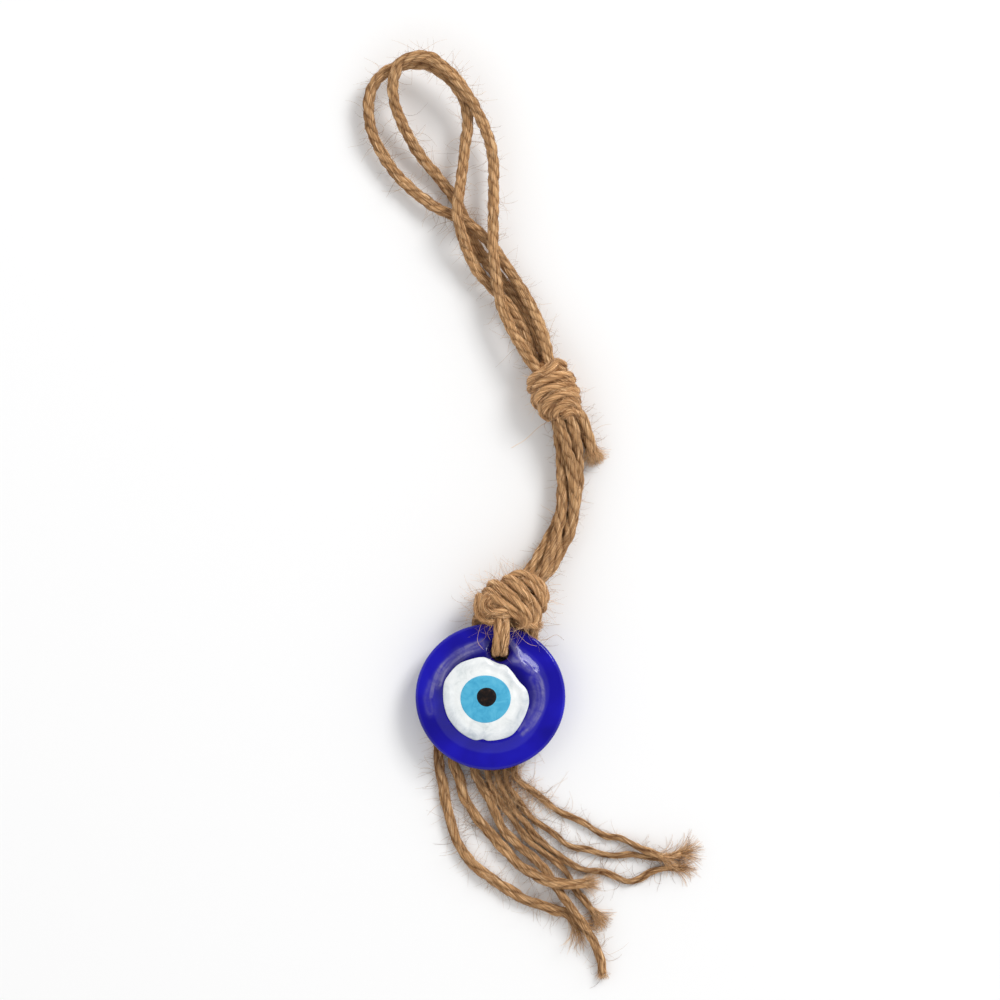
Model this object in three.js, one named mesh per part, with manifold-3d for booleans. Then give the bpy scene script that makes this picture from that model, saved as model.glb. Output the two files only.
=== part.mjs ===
// Evil eye ornament: a blue glass eye disc that hangs on knotted jute cord, with a double hanging loop
// above it and a loose tassel of cord ends behind and below it. It lies on its back on a flat surface.
// Millimetres. The origin is the middle of the glass disc, +Z is up out of its face, and +Y points
// from the disc towards the hanging loop.

import * as THREE from 'three';
import { mergeVertices } from 'three/addons/utils/BufferGeometryUtils.js';
import Module from 'manifold-3d';

const wasm = await Module();
wasm.setup();

// ---------------------------------------------------------------- driving dimensions

const GAP = 0.3;                  // room between two separate pieces
const SURFACE_Z = -6.8;           // the surface that the ornament lies on

const DISC_RADIUS = 20;
const DISC_OVAL = 0.975;          // height of the disc over its width
const DISC_BACK_Z = -3.0;
const DISC_BAND_Z = 1.2;          // face of the flat outer band
const DISC_CROWN_Z = 2.6;         // top of the raised middle
const CROWN_SHOULDER_Z = 2.2;
const CROWN_SHOULDER_RADIUS = 14.2;
const CROWN_FOOT_RADIUS = 16.4;
const DISC_EDGE_ROUND = 0.8;
const DISC_TILT = THREE.MathUtils.degToRad(1.5); // the lower edge rests on the tassel
const HOLE = { x: 2.5, y: 11.9, radius: 2.5 };
const DISC_SIDES = 48;

const WHITE_FLOOR_Z = 1.2;        // floor of the pocket under the white glass
const WHITE_TOP_Z = 3.0;
const IRIS_CENTRE = { x: -1.3, y: -0.5 };
const IRIS_RADIUS = 6.5;
const IRIS_FLOOR_Z = 2.1;
const IRIS_TOP_Z = 3.2;
const PUPIL_CENTRE = { x: -1.0, y: 0.0 };
const PUPIL_RADIUS = 2.8;
const PUPIL_TOP_Z = 3.3;
const GLASS_EDGE = 0.3;           // rounding of a glass drop's upper edge

const CORD_DIAMETER = 2.6;        // firm core of the hanging cord
const TASSEL_DIAMETER = 2.4;      // the same cord, slack
const PLY_DIAMETER = 1.5;         // one ply of it
const LINK_DIAMETER = 1.7;        // the cord where it is pulled tight through the hole
const LINK_SPREAD = 1.0;          // half the distance between the two link strands
const TAIL_DIAMETER = 2.2;
const CORD_SIDES = 8;
const CORD_STEP = 2.4;            // length of one step along a cord, in diameters

const BUNDLE_RADIUS = 2.3;        // from the twisted bundle's middle to a strand's middle
const BUNDLE_TURNS = 0.45;
const BUNDLE_STRANDS = 4;
const BUNDLE_POINTS = 13;

const HINGE_Y = 19.9;             // where the link bends out of the eye knot
const HINGE_Z = 4.0;
const LIFT_ANGLES = [0, 30, 60, 90];
const TURN_ANGLES = [-12, 0, 22];

// ---------------------------------------------------------------- materials

function glass(color, roughness) {
  return new THREE.MeshStandardMaterial({ color, roughness, metalness: 0 });
}

const cobaltGlass = glass(0x1a18a8, 0.12);
const whiteGlass = glass(0xf2f5f3, 0.2);
const skyGlass = glass(0x4fb3dc, 0.2);
const darkGlass = glass(0x140f0e, 0.15);
const jute = new THREE.MeshStandardMaterial({ color: 0xb98f5c, roughness: 0.95, metalness: 0 });

// ---------------------------------------------------------------- solids

function toManifold(geometry) {
  const bare = geometry.clone();
  bare.deleteAttribute('normal');
  bare.deleteAttribute('uv');
  const merged = mergeVertices(bare);
  return new wasm.Manifold(new wasm.Mesh({
    numProp: 3,
    vertProperties: Float32Array.from(merged.attributes.position.array),
    triVerts: Uint32Array.from(merged.index.array),
  }));
}

function toGeometry(solid) {
  const mesh = solid.getMesh();
  const geometry = new THREE.BufferGeometry();
  geometry.setAttribute('position', new THREE.BufferAttribute(Float32Array.from(mesh.vertProperties), 3));
  geometry.setIndex(new THREE.BufferAttribute(Uint32Array.from(mesh.triVerts), 1));
  const faceted = geometry.toNonIndexed();
  faceted.computeVertexNormals();
  return faceted;
}

// Cuts the tools out. A crumb that a cut leaves between two sockets is dropped.
function cut(geometry, tools) {
  const solid = tools.reduce((rest, tool) => rest.subtract(toManifold(tool)), toManifold(geometry));
  const bodies = solid.decompose().sort((a, b) => b.volume() - a.volume());
  return toGeometry(bodies[0]);
}

function join(geometries) {
  return toGeometry(geometries.map(toManifold).reduce((whole, next) => whole.add(next)));
}

function part(name, geometry, material) {
  const mesh = new THREE.Mesh(geometry, material);
  mesh.name = name;
  return mesh;
}

// A plain cylinder along Z.
function post({ x, y }, radius, bottom, top, sides = DISC_SIDES) {
  const geometry = new THREE.CylinderGeometry(radius, radius, top - bottom, sides);
  geometry.rotateX(Math.PI / 2);
  geometry.translate(x, y, (top + bottom) / 2);
  return geometry;
}

// ---------------------------------------------------------------- glass eye

function discProfile() {
  const rim = DISC_RADIUS;
  const round = DISC_EDGE_ROUND;
  return [
    [0, DISC_BACK_Z],
    [rim - round, DISC_BACK_Z],
    [rim, DISC_BACK_Z + round],
    [rim, DISC_BAND_Z - round],
    [rim - round, DISC_BAND_Z],
    [CROWN_FOOT_RADIUS, DISC_BAND_Z],
    [CROWN_SHOULDER_RADIUS, CROWN_SHOULDER_Z],
    [CROWN_SHOULDER_RADIUS / 2, DISC_CROWN_Z],
    [0, DISC_CROWN_Z],
  ].map(([radius, z]) => new THREE.Vector2(radius, z));
}

function discBlank() {
  const geometry = new THREE.LatheGeometry(discProfile(), DISC_SIDES);
  geometry.rotateX(Math.PI / 2);
  geometry.scale(1, DISC_OVAL, 1);
  return geometry;
}

// The white glass spread unevenly: flattened towards the hole, with a small notch at the bottom.
const WHITE_OUTLINE = [
  [-12.6, 0.5], [-10.6, 6.6], [-5.7, 9.9], [-1.8, 10.5], [2.2, 8.7], [5.9, 6.6], [9.6, 2.0], [10.3, -1.1],
  [9.3, -4.6], [5.6, -10.2], [1.6, -11.5], [-2.6, -11.2], [-5.2, -11.1], [-9.4, -8.1], [-12.0, -3.6],
];
const WHITE_CENTRE = { x: -1.1, y: -0.5 };
const WHITE_SIZE = 11.2;

function whiteShape(grow) {
  const scale = 1 + grow / WHITE_SIZE;
  const points = WHITE_OUTLINE.map(([x, y]) => new THREE.Vector2(
    WHITE_CENTRE.x + (x - WHITE_CENTRE.x) * scale,
    WHITE_CENTRE.y + (y - WHITE_CENTRE.y) * scale,
  ));
  const shape = new THREE.Shape();
  shape.moveTo(points[0].x, points[0].y);
  shape.splineThru([...points.slice(1), points[0]]);
  return shape;
}

function roundShape({ x, y }, radius) {
  const shape = new THREE.Shape();
  shape.absarc(x, y, radius, 0, 2 * Math.PI);
  return shape;
}

// A flat drop of glass with rounded edges. Its outline is the shape's, halfway up.
function glassDrop(shape, bottom, top, curveSegments) {
  const geometry = new THREE.ExtrudeGeometry(shape, {
    depth: top - bottom - 2 * GLASS_EDGE,
    curveSegments,
    bevelThickness: GLASS_EDGE,
    bevelSize: GLASS_EDGE,
    bevelOffset: -GLASS_EDGE,
    bevelSegments: 1,
  });
  geometry.translate(0, 0, bottom + GLASS_EDGE);
  return geometry;
}

function whitePocket() {
  const geometry = new THREE.ExtrudeGeometry(whiteShape(GAP), {
    depth: DISC_CROWN_Z,
    curveSegments: 3,
    bevelEnabled: false,
  });
  geometry.translate(0, 0, WHITE_FLOOR_Z);
  return geometry;
}

function glassEye() {
  const eye = new THREE.Group();
  const hole = post(HOLE, HOLE.radius, DISC_BACK_Z - 1, DISC_CROWN_Z + 1, 24);
  const irisPocket = post(IRIS_CENTRE, IRIS_RADIUS + GAP, IRIS_FLOOR_Z, WHITE_TOP_Z + 1, 32);
  const pupilHole = post(PUPIL_CENTRE, PUPIL_RADIUS + GAP, IRIS_FLOOR_Z, PUPIL_TOP_Z + 1, 20);
  const white = glassDrop(whiteShape(0), WHITE_FLOOR_Z + GAP, WHITE_TOP_Z, 3);
  const iris = glassDrop(roundShape(IRIS_CENTRE, IRIS_RADIUS), IRIS_FLOOR_Z + GAP, IRIS_TOP_Z, 16);
  const pupil = glassDrop(roundShape(PUPIL_CENTRE, PUPIL_RADIUS), IRIS_FLOOR_Z + GAP, PUPIL_TOP_Z, 10);
  eye.add(
    part('blue_glass_disc', cut(discBlank(), [hole, whitePocket()]), cobaltGlass),
    part('white_glass_layer', cut(white, [irisPocket]), whiteGlass),
    part('light_blue_iris', cut(iris, [pupilHole]), skyGlass),
    part('dark_pupil', pupil, darkGlass),
  );
  eye.rotation.x = -DISC_TILT;
  return eye;
}

// ---------------------------------------------------------------- cords

// A point given by its height over the surface that the ornament lies on.
function at([x, y, height]) {
  return new THREE.Vector3(x, y, SURFACE_Z + height);
}

function section(radius, sides) {
  const corners = Array.from({ length: sides }, (_, i) => {
    const angle = (2 * Math.PI * i) / sides;
    return new THREE.Vector2(radius * Math.cos(angle), radius * Math.sin(angle));
  });
  return new THREE.Shape(corners);
}

function cordAlong(points, diameter, sides = CORD_SIDES) {
  const extrudePath = new THREE.CatmullRomCurve3(points, false, 'centripetal');
  const steps = Math.max(3, Math.round(extrudePath.getLength() / (CORD_STEP * diameter)));
  return new THREE.ExtrudeGeometry(section(diameter / 2, sides), { steps, bevelEnabled: false, extrudePath });
}

function beyond(end, before) {
  return end.clone().add(end.clone().sub(before).setLength(GAP));
}

// The room that a cord needs: the same route, thicker by the gap and longer by it at both ends.
function roomFor({ points, diameter }) {
  const last = points.length - 1;
  const route = [beyond(points[0], points[1]), ...points, beyond(points[last], points[last - 1])];
  return cordAlong(route, diameter + 2 * GAP + 0.1, 12);
}

function cord(name, points, diameter) {
  return { name, points, diameter };
}

function cordPart({ name, points, diameter }) {
  return part(name, cordAlong(points, diameter), jute);
}

// Two cords lie side by side round the hanging loop. The first leaves the middle knot on top, runs up
// the right side, over the top and down the inner left side. The second one runs inside it and then
// out to the far left.
const LOOP_CORDS = [
  cord('hanging_loop_cord_outer', [
    [12.9, 86.6, 8.0], [10.8, 89.4, 8.0], [7.8, 94.2, 7.4], [5.3, 98.8, 7.0], [3.2, 104.0, 7.0],
    [1.9, 109.2, 7.2], [1.2, 114.2, 7.6], [0.8, 119.4, 7.6], [0.7, 125.2, 7.2], [0.8, 131.0, 6.6],
    [0.9, 137.0, 6.2], [0.8, 142.4, 6.2], [0.0, 147.4, 6.5], [-1.6, 152.0, 7.2], [-3.5, 156.0, 8.4],
    [-5.8, 160.0, 9.6], [-8.5, 163.8, 10.3], [-11.8, 167.4, 10.6], [-15.8, 170.1, 10.8], [-20.0, 170.5, 10.6],
    [-23.8, 168.9, 9.8], [-25.6, 165.4, 8.7], [-26.0, 161.4, 7.6], [-25.3, 157.4, 6.6], [-23.8, 153.6, 5.6],
    [-21.9, 149.7, 4.6], [-19.5, 145.7, 3.8], [-16.8, 142.1, 3.0], [-14.0, 138.8, 2.4], [-11.3, 135.6, 1.9],
    [-8.9, 132.0, 1.6], [-6.9, 127.6, 1.45], [-4.9, 122.4, 1.4], [-2.0, 117.4, 1.4], [1.8, 112.8, 1.4],
    [5.9, 107.8, 1.5], [9.2, 102.8, 2.0], [11.7, 98.0, 2.7], [13.3, 93.8, 3.5], [14.7, 90.2, 4.5],
    [15.9, 87.6, 4.7],
  ].map(at), CORD_DIAMETER),
  cord('hanging_loop_cord_inner', [
    [12.9, 86.6, 4.7], [11.9, 89.4, 4.6], [10.6, 93.2, 4.0], [9.0, 97.4, 3.6], [6.9, 101.4, 3.6],
    [3.8, 105.8, 3.8], [-0.6, 110.4, 4.1], [-3.7, 114.2, 4.6], [-5.9, 118.6, 5.6], [-7.6, 123.2, 6.8],
    [-8.6, 127.4, 7.5], [-8.7, 131.6, 7.3], [-8.1, 136.0, 6.4], [-7.5, 140.6, 5.7], [-7.0, 145.2, 5.6],
    [-6.4, 149.8, 5.8], [-6.0, 154.2, 6.3], [-6.8, 158.4, 6.7], [-9.0, 162.4, 7.3], [-12.3, 165.8, 7.7],
    [-16.4, 168.2, 7.6], [-20.8, 168.7, 7.1], [-25.3, 168.0, 6.5], [-29.1, 165.9, 5.8], [-31.7, 162.4, 5.2],
    [-32.6, 158.2, 4.6], [-32.3, 153.8, 4.1], [-31.0, 149.3, 3.7], [-28.7, 144.6, 3.4], [-25.8, 140.4, 3.2],
    [-22.4, 136.8, 3.2], [-18.6, 133.5, 3.4], [-14.6, 130.7, 3.8], [-10.4, 128.6, 4.2], [-6.0, 126.6, 4.3],
    [-2.3, 123.4, 4.2], [0.7, 120.0, 4.2], [3.5, 116.2, 4.0], [6.4, 111.8, 3.9], [9.3, 107.2, 4.0],
    [11.9, 102.3, 4.6], [13.8, 97.4, 5.6], [14.9, 93.4, 7.0], [15.5, 90.2, 7.9], [16.2, 87.6, 8.0],
  ].map(at), CORD_DIAMETER),
];

// The four strands between the knots are twisted round one middle line.
const BUNDLE_LINE = [
  [19.0, 75.6, 6.4], [20.3, 70.5, 6.2], [21.1, 65.0, 5.2], [21.3, 60.0, 4.4], [21.2, 55.0, 4.0],
  [20.2, 48.0, 4.0], [18.2, 42.6, 4.3], [15.8, 38.0, 5.0], [13.2, 34.0, 5.8], [11.4, 31.8, 6.1],
];

function bundleStrand(strand) {
  const line = new THREE.CatmullRomCurve3(BUNDLE_LINE.map(at), false, 'centripetal');
  const up = new THREE.Vector3(0, 0, 1);
  return Array.from({ length: BUNDLE_POINTS }, (_, i) => {
    const along = i / (BUNDLE_POINTS - 1);
    const angle = 2 * Math.PI * (BUNDLE_TURNS * along + (strand + 0.5) / BUNDLE_STRANDS);
    const tangent = line.getTangentAt(along);
    const side = tangent.clone().cross(up).normalize();
    const lift = side.clone().cross(tangent);
    return line.getPointAt(along)
      .addScaledVector(side, BUNDLE_RADIUS * Math.cos(angle))
      .addScaledVector(lift, BUNDLE_RADIUS * Math.sin(angle));
  });
}

const BUNDLE_CORDS = Array.from(
  { length: BUNDLE_STRANDS },
  (_, i) => cord(`lower_cord_${i + 1}`, bundleStrand(i), CORD_DIAMETER),
);

const MIDDLE_TAILS = [
  cord('middle_knot_tail_upper', [
    [21.6, 78.4, 6.4], [23.9, 75.4, 5.6], [25.3, 72.0, 4.9], [26.4, 68.6, 4.5], [27.2, 65.2, 4.4],
  ].map(at), TAIL_DIAMETER),
  cord('middle_knot_tail_lower', [
    [22.2, 77.6, 3.2], [23.6, 74.8, 2.2], [24.9, 71.3, 1.7], [26.4, 67.9, 1.5], [27.8, 64.4, 1.5],
  ].map(at), TAIL_DIAMETER),
];

const EYE_TAIL = cord('eye_knot_tail', [
  [6.4, 24.2, 9.4], [8.6, 21.6, 10.0], [10.6, 19.9, 9.9], [12.4, 18.9, 9.6],
].map(at), TAIL_DIAMETER);

// The link runs from the eye knot down over the disc's face, through the hole and back up behind it.
function linkStrand(side) {
  const route = [
    [20.2, 4.0], [17.4, 3.95], [14.9, 3.8], [12.9, 3.0], [11.9, 1.4], [11.7, -0.6],
    [11.9, -2.6], [12.8, -4.2], [15.0, -4.75], [17.5, -4.85], [19.8, -4.6],
  ];
  const lean = (y) => HOLE.x + 0.08 * (y - HOLE.y);
  return route.map(([y, z]) => new THREE.Vector3(lean(y) + side * LINK_SPREAD, y, z));
}

const LINK_CORDS = [
  cord('link_cord_left', linkStrand(-1), LINK_DIAMETER),
  cord('link_cord_right', linkStrand(1), LINK_DIAMETER),
];

// Tassel: three cords run whole to their cut ends, and two come apart into their plies behind the disc.
const TASSEL_CORDS = [
  cord('tassel_cord_1', [
    [-0.8, 24.3, 3.8], [-3.2, 21.2, 2.1], [-3.8, 17.6, 1.3], [-6.1, 11.0, 1.3], [-9.2, 4.0, 1.3],
    [-11.9, -3.0, 1.3], [-13.7, -9.5, 1.3], [-14.1, -14.6, 1.3], [-13.9, -18.7, 1.3], [-12.9, -23.4, 1.3],
    [-11.7, -29.4, 1.3], [-10.5, -34.2, 1.3], [-9.1, -38.5, 1.3], [-7.2, -42.0, 1.3], [-4.0, -45.7, 1.3],
    [0.4, -48.9, 1.3], [4.7, -51.8, 1.3], [9.1, -54.5, 1.3], [13.5, -56.1, 1.3], [17.8, -57.4, 1.3],
    [20.7, -58.4, 1.3], [22.8, -60.6, 1.3],
  ].map(at), TASSEL_DIAMETER),
  cord('tassel_cord_2', [
    [1.8, 23.3, 3.0], [-0.6, 20.6, 1.6], [-1.1, 17.3, 1.3], [-2.5, 11.5, 1.3], [-4.6, 5.0, 1.3],
    [-6.8, -2.0, 1.3], [-8.7, -8.5, 1.3], [-9.9, -14.0, 1.3], [-9.8, -18.0, 1.3], [-8.4, -22.3, 1.3],
    [-6.7, -27.7, 1.3], [-4.1, -31.8, 1.3], [-1.3, -35.4, 1.3], [1.6, -38.5, 1.3], [4.0, -41.3, 1.3],
    [6.4, -44.0, 1.4], [9.2, -46.3, 1.9], [13.0, -48.3, 3.7], [16.4, -49.6, 4.3], [20.2, -50.1, 3.6],
    [23.4, -50.2, 2.9], [26.0, -50.1, 2.4],
  ].map(at), TASSEL_DIAMETER),
  cord('tassel_cord_3', [
    [6.3, 22.6, 2.8], [6.4, 19.8, 1.6], [6.3, 16.5, 1.3], [5.9, 10.5, 1.3], [4.6, 4.0, 1.3],
    [2.6, -3.0, 1.3], [0.0, -10.0, 1.3], [-2.6, -15.5, 1.3], [-4.3, -19.6, 1.3], [-2.7, -23.6, 1.3],
    [-0.5, -27.2, 1.3], [1.3, -31.3, 1.3], [3.1, -35.2, 1.3], [6.2, -38.8, 1.3], [9.4, -41.6, 1.3],
    [12.6, -44.4, 1.3], [14.9, -47.0, 1.3], [16.9, -50.2, 1.4], [19.4, -53.6, 2.6], [22.0, -57.2, 4.1],
    [24.8, -61.0, 3.7], [27.6, -65.6, 2.4], [29.4, -70.6, 1.5], [30.0, -74.2, 1.3],
  ].map(at), TASSEL_DIAMETER),
  cord('tassel_cord_4', [
    [8.9, 22.8, 3.2], [9.05, 19.8, 1.8], [9.0, 16.5, 1.3], [8.6, 10.5, 1.3], [7.4, 4.0, 1.3],
    [5.5, -3.0, 1.3], [3.5, -9.4, 1.3],
  ].map(at), TASSEL_DIAMETER),
  cord('tassel_cord_5', [
    [11.4, 23.6, 3.8], [11.7, 20.4, 2.2], [11.6, 16.8, 1.3], [11.3, 10.5, 1.3], [10.4, 4.0, 1.3],
    [8.9, -3.0, 1.3], [7.4, -9.4, 1.3],
  ].map(at), TASSEL_DIAMETER),
];

const TASSEL_PLIES = [
  cord('tassel_ply_4a', [
    [2.4, -10.0, 0.85], [0.9, -15.0, 0.85], [-0.6, -19.0, 0.85], [-0.3, -22.8, 0.85], [2.4, -28.4, 0.85],
    [5.5, -32.3, 0.85], [8.0, -35.9, 0.85], [10.4, -38.7, 0.85], [12.9, -40.9, 0.85], [15.7, -43.0, 0.85],
    [18.6, -45.4, 0.85], [20.9, -48.2, 0.85], [22.6, -51.8, 0.85], [25.1, -54.6, 0.9], [28.4, -59.0, 0.9],
  ].map(at), PLY_DIAMETER),
  cord('tassel_ply_4b', [
    [4.2, -10.5, 0.85], [3.0, -15.0, 0.85], [2.0, -19.0, 0.85], [2.1, -22.4, 0.85], [4.0, -27.0, 0.85],
    [6.4, -30.6, 0.85], [9.4, -34.0, 0.85], [11.9, -37.3, 0.85], [14.6, -39.8, 0.85], [17.8, -42.2, 0.85],
    [21.4, -44.9, 0.85], [25.1, -46.6, 0.85], [30.0, -47.1, 0.85], [33.4, -48.4, 0.85], [36.9, -49.8, 0.85],
    [39.9, -49.1, 0.85], [42.8, -47.2, 0.85], [46.7, -46.2, 0.85], [50.2, -46.0, 0.85],
  ].map(at), PLY_DIAMETER),
  cord('tassel_ply_5a', [
    [6.4, -10.0, 0.85], [5.0, -15.5, 0.85], [4.2, -19.6, 0.85], [4.5, -23.4, 0.85], [6.8, -27.2, 0.85],
    [8.8, -30.1, 0.85], [11.5, -33.1, 0.85], [14.9, -35.5, 0.85], [17.8, -37.5, 0.85], [20.0, -39.5, 0.85],
    [22.6, -40.7, 0.85], [25.4, -41.0, 0.85], [28.9, -42.1, 0.85], [32.7, -42.8, 0.85], [37.6, -42.6, 0.85],
    [42.8, -43.2, 0.85], [47.0, -43.4, 0.85], [51.0, -42.2, 0.85],
  ].map(at), PLY_DIAMETER),
  cord('tassel_ply_5b', [
    [8.3, -10.5, 0.85], [7.0, -15.0, 0.85], [6.3, -18.6, 0.85], [6.7, -21.6, 0.85], [8.6, -23.6, 0.85],
    [10.9, -25.2, 0.85], [13.5, -27.2, 0.85], [15.9, -29.1, 0.85], [18.8, -31.2, 0.85], [22.6, -32.8, 0.85],
    [25.4, -34.2, 0.85], [28.2, -36.2, 0.85], [31.4, -37.7, 0.85], [34.8, -38.1, 0.9], [37.6, -39.4, 1.3],
    [40.4, -40.9, 2.3], [43.6, -42.0, 2.7], [46.2, -43.2, 2.6],
  ].map(at), PLY_DIAMETER),
];

// ---------------------------------------------------------------- knots

// A lumpy body with turns of cord wound round it. Its middle line runs at the given angle to +X.
function knotBlank({ centre, angle, core, turns, turnRadius, cordRadius }) {
  const body = new THREE.SphereGeometry(1, 20, 12);
  body.scale(core.along, core.across, core.up);
  const wraps = turns.map(({ along, lean, size }) => {
    const wrap = new THREE.TorusGeometry(turnRadius * size, cordRadius, 6, 18);
    wrap.rotateY(Math.PI / 2);
    wrap.rotateZ(lean);
    wrap.scale(1, core.across / core.along, core.up / core.along);
    wrap.translate(along, 0, 0);
    return wrap;
  });
  const whole = join([body, ...wraps]);
  whole.rotateZ(angle);
  whole.translate(centre.x, centre.y, centre.z);
  return whole;
}

const MIDDLE_KNOT = {
  centre: at([16.9, 81.8, 6.5]),
  angle: THREE.MathUtils.degToRad(-68),
  core: { along: 8.6, across: 6.6, up: 5.8 },
  turns: [
    { along: -5.2, lean: 0.1, size: 0.74 },
    { along: -1.8, lean: 0, size: 0.86 },
    { along: 1.8, lean: -0.12, size: 0.86 },
    { along: 5.2, lean: -0.2, size: 0.74 },
  ],
  turnRadius: 7.6,
  cordRadius: 1.5,
};

const EYE_KNOT = {
  centre: at([5.4, 26.8, 6.4]),
  angle: THREE.MathUtils.degToRad(28),
  core: { along: 8.4, across: 7.0, up: 5.9 },
  turns: [
    { along: -4.8, lean: 0.25, size: 0.76 },
    { along: -1.4, lean: 0.25, size: 0.92 },
    { along: 2.2, lean: 0.2, size: 0.9 },
    { along: 5.4, lean: 0.1, size: 0.68 },
  ],
  turnRadius: 7.3,
  cordRadius: 1.5,
};

// The link swings up out of the eye knot's mouth, so the mouth is as wide as that swing.
function linkSwing() {
  return LIFT_ANGLES.flatMap((angle) => LINK_CORDS.map((link) => {
    const room = roomFor(link);
    room.translate(0, -HINGE_Y, -HINGE_Z);
    room.rotateX(-THREE.MathUtils.degToRad(angle));
    room.translate(0, HINGE_Y, HINGE_Z);
    return room;
  }));
}

// The disc's rim turns about its hole right below the eye knot.
function rimSwing() {
  return TURN_ANGLES.map((angle) => {
    const room = post({ x: 0, y: 0 }, DISC_RADIUS + GAP, DISC_BACK_Z - 2 * GAP, DISC_BAND_Z + 2 * GAP);
    room.scale(1, DISC_OVAL, 1);
    room.translate(-HOLE.x, -HOLE.y, 0);
    room.rotateZ(THREE.MathUtils.degToRad(angle));
    room.translate(HOLE.x, HOLE.y, 0);
    room.rotateX(-DISC_TILT);
    return room;
  });
}

// ---------------------------------------------------------------- the whole ornament

const ornament = new THREE.Group();

ornament.add(glassEye());

ornament.add(part(
  'middle_knot',
  cut(knotBlank(MIDDLE_KNOT), [...LOOP_CORDS, ...BUNDLE_CORDS, ...MIDDLE_TAILS].map(roomFor)),
  jute,
));

ornament.add(part(
  'eye_knot',
  cut(knotBlank(EYE_KNOT), [
    ...[...BUNDLE_CORDS, ...TASSEL_CORDS, EYE_TAIL].map(roomFor),
    ...linkSwing(),
    ...rimSwing(),
  ]),
  jute,
));

const ALL_CORDS = [
  ...LOOP_CORDS, ...BUNDLE_CORDS, ...MIDDLE_TAILS, EYE_TAIL, ...LINK_CORDS, ...TASSEL_CORDS, ...TASSEL_PLIES,
];
ornament.add(...ALL_CORDS.map(cordPart));

export default ornament;
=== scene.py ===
import math

import bpy
import numpy as np
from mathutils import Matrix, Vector


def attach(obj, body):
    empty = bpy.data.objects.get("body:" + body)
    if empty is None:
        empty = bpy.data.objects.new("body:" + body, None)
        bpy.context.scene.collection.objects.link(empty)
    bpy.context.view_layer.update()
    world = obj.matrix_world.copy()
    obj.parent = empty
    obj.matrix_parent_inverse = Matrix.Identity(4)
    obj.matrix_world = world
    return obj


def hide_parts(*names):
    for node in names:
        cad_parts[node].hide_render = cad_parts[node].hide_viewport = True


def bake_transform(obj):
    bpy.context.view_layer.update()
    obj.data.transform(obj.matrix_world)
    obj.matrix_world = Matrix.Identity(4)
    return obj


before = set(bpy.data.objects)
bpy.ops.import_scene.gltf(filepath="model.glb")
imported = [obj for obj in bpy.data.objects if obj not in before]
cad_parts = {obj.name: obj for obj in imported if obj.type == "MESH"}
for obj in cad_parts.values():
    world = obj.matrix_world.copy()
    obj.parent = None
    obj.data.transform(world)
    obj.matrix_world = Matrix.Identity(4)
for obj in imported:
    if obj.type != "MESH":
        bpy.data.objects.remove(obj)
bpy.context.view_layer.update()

# Lengths are millimetres in the row frame until a mesh is made.
MM = 0.001
SURFACE_Z = -6.8           # the surface that the ornament lies on
DISC_TILT = math.radians(1.5)
HOLE = (2.5, 11.9)
HOLE_RADIUS = 2.5
TWIST = -1                 # the cord is twisted to the left
STEP = 0.36                # length of one step along a cord
DISC_BACK_Z = -3.0
DISC_RADIUS = 20.0
LOOP_DIAMETER = 2.95       # the firm cord
PLY_DIAMETER = 1.75        # a single ply, where a slack cord comes apart
TAIL_DIAMETER = 3.0
EYE_TAIL_DIAMETER = 2.7
LINK_DIAMETER = 2.25
TANGLE_STEPS = 70          # how far along the single plies the loose tangle reaches
HIDDEN_RUN = 1.8           # how far a strand goes on inside a knot
PLY_OVERLAP = 3.0          # how far a ply goes back into the cord that it comes from
TAU = 2 * math.pi


def route(*points, lie=None):
    """Points given as x, y and the height over the surface, or as x and y where the cord just lies."""
    return np.array([(x, y, SURFACE_Z + (height[0] if height else lie)) for x, y, *height in points])


# ---------------------------------------------------------------- lines and tubes


def even(line, step):
    """The same line in even steps."""
    runs = np.linalg.norm(np.diff(line, axis=0), axis=1)
    along = np.concatenate([[0.0], np.cumsum(runs)])
    count = max(3, round(along[-1] / step) + 1)
    wanted = np.linspace(0.0, along[-1], count)
    return np.stack([np.interp(wanted, along, line[:, k]) for k in range(3)], axis=1)


def smooth(points, step=STEP):
    """A centripetal Catmull-Rom line through the points, in even steps."""
    p = np.asarray(points, float)
    ends = np.vstack([2 * p[0] - p[1], p, 2 * p[-1] - p[-2]])
    u = np.linspace(0.0, 1.0, 24, endpoint=False)[:, None]
    pieces = []
    for a, b, c, d in zip(ends, ends[1:], ends[2:], ends[3:]):
        t0, t1, t2 = (math.sqrt(np.linalg.norm(v)) for v in (b - a, c - b, d - c))
        m1 = ((b - a) / t0 - (c - a) / (t0 + t1) + (c - b) / t1) * t1
        m2 = ((c - b) / t1 - (d - b) / (t1 + t2) + (d - c) / t2) * t1
        pieces.append(b + m1 * u + (3 * (c - b) - 2 * m1 - m2) * u**2 + (2 * (b - c) + m1 + m2) * u**3)
    return even(np.vstack([*pieces, p[-1:]]), step)


def unit(v):
    return v / np.maximum(np.linalg.norm(v, axis=-1, keepdims=True), 1e-9)


def frames(lines):
    """Tangents and two normals along a batch of lines, turned as little as possible."""
    t = unit(np.gradient(lines, axis=1))
    n = np.empty_like(t)
    aside = np.where(np.abs(t[:, 0, 2:]) < 0.9, [0.0, 0.0, 1.0], [1.0, 0.0, 0.0])
    n[:, 0] = unit(np.cross(aside, t[:, 0]))
    for i in range(1, lines.shape[1]):
        before = n[:, i - 1]
        n[:, i] = unit(before - (before * t[:, i]).sum(-1, keepdims=True) * t[:, i])
    return t, n, np.cross(t, n)


def around(angle, n, b):
    """The direction at an angle between two normals."""
    return np.cos(angle)[..., None] * n + np.sin(angle)[..., None] * b


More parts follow.
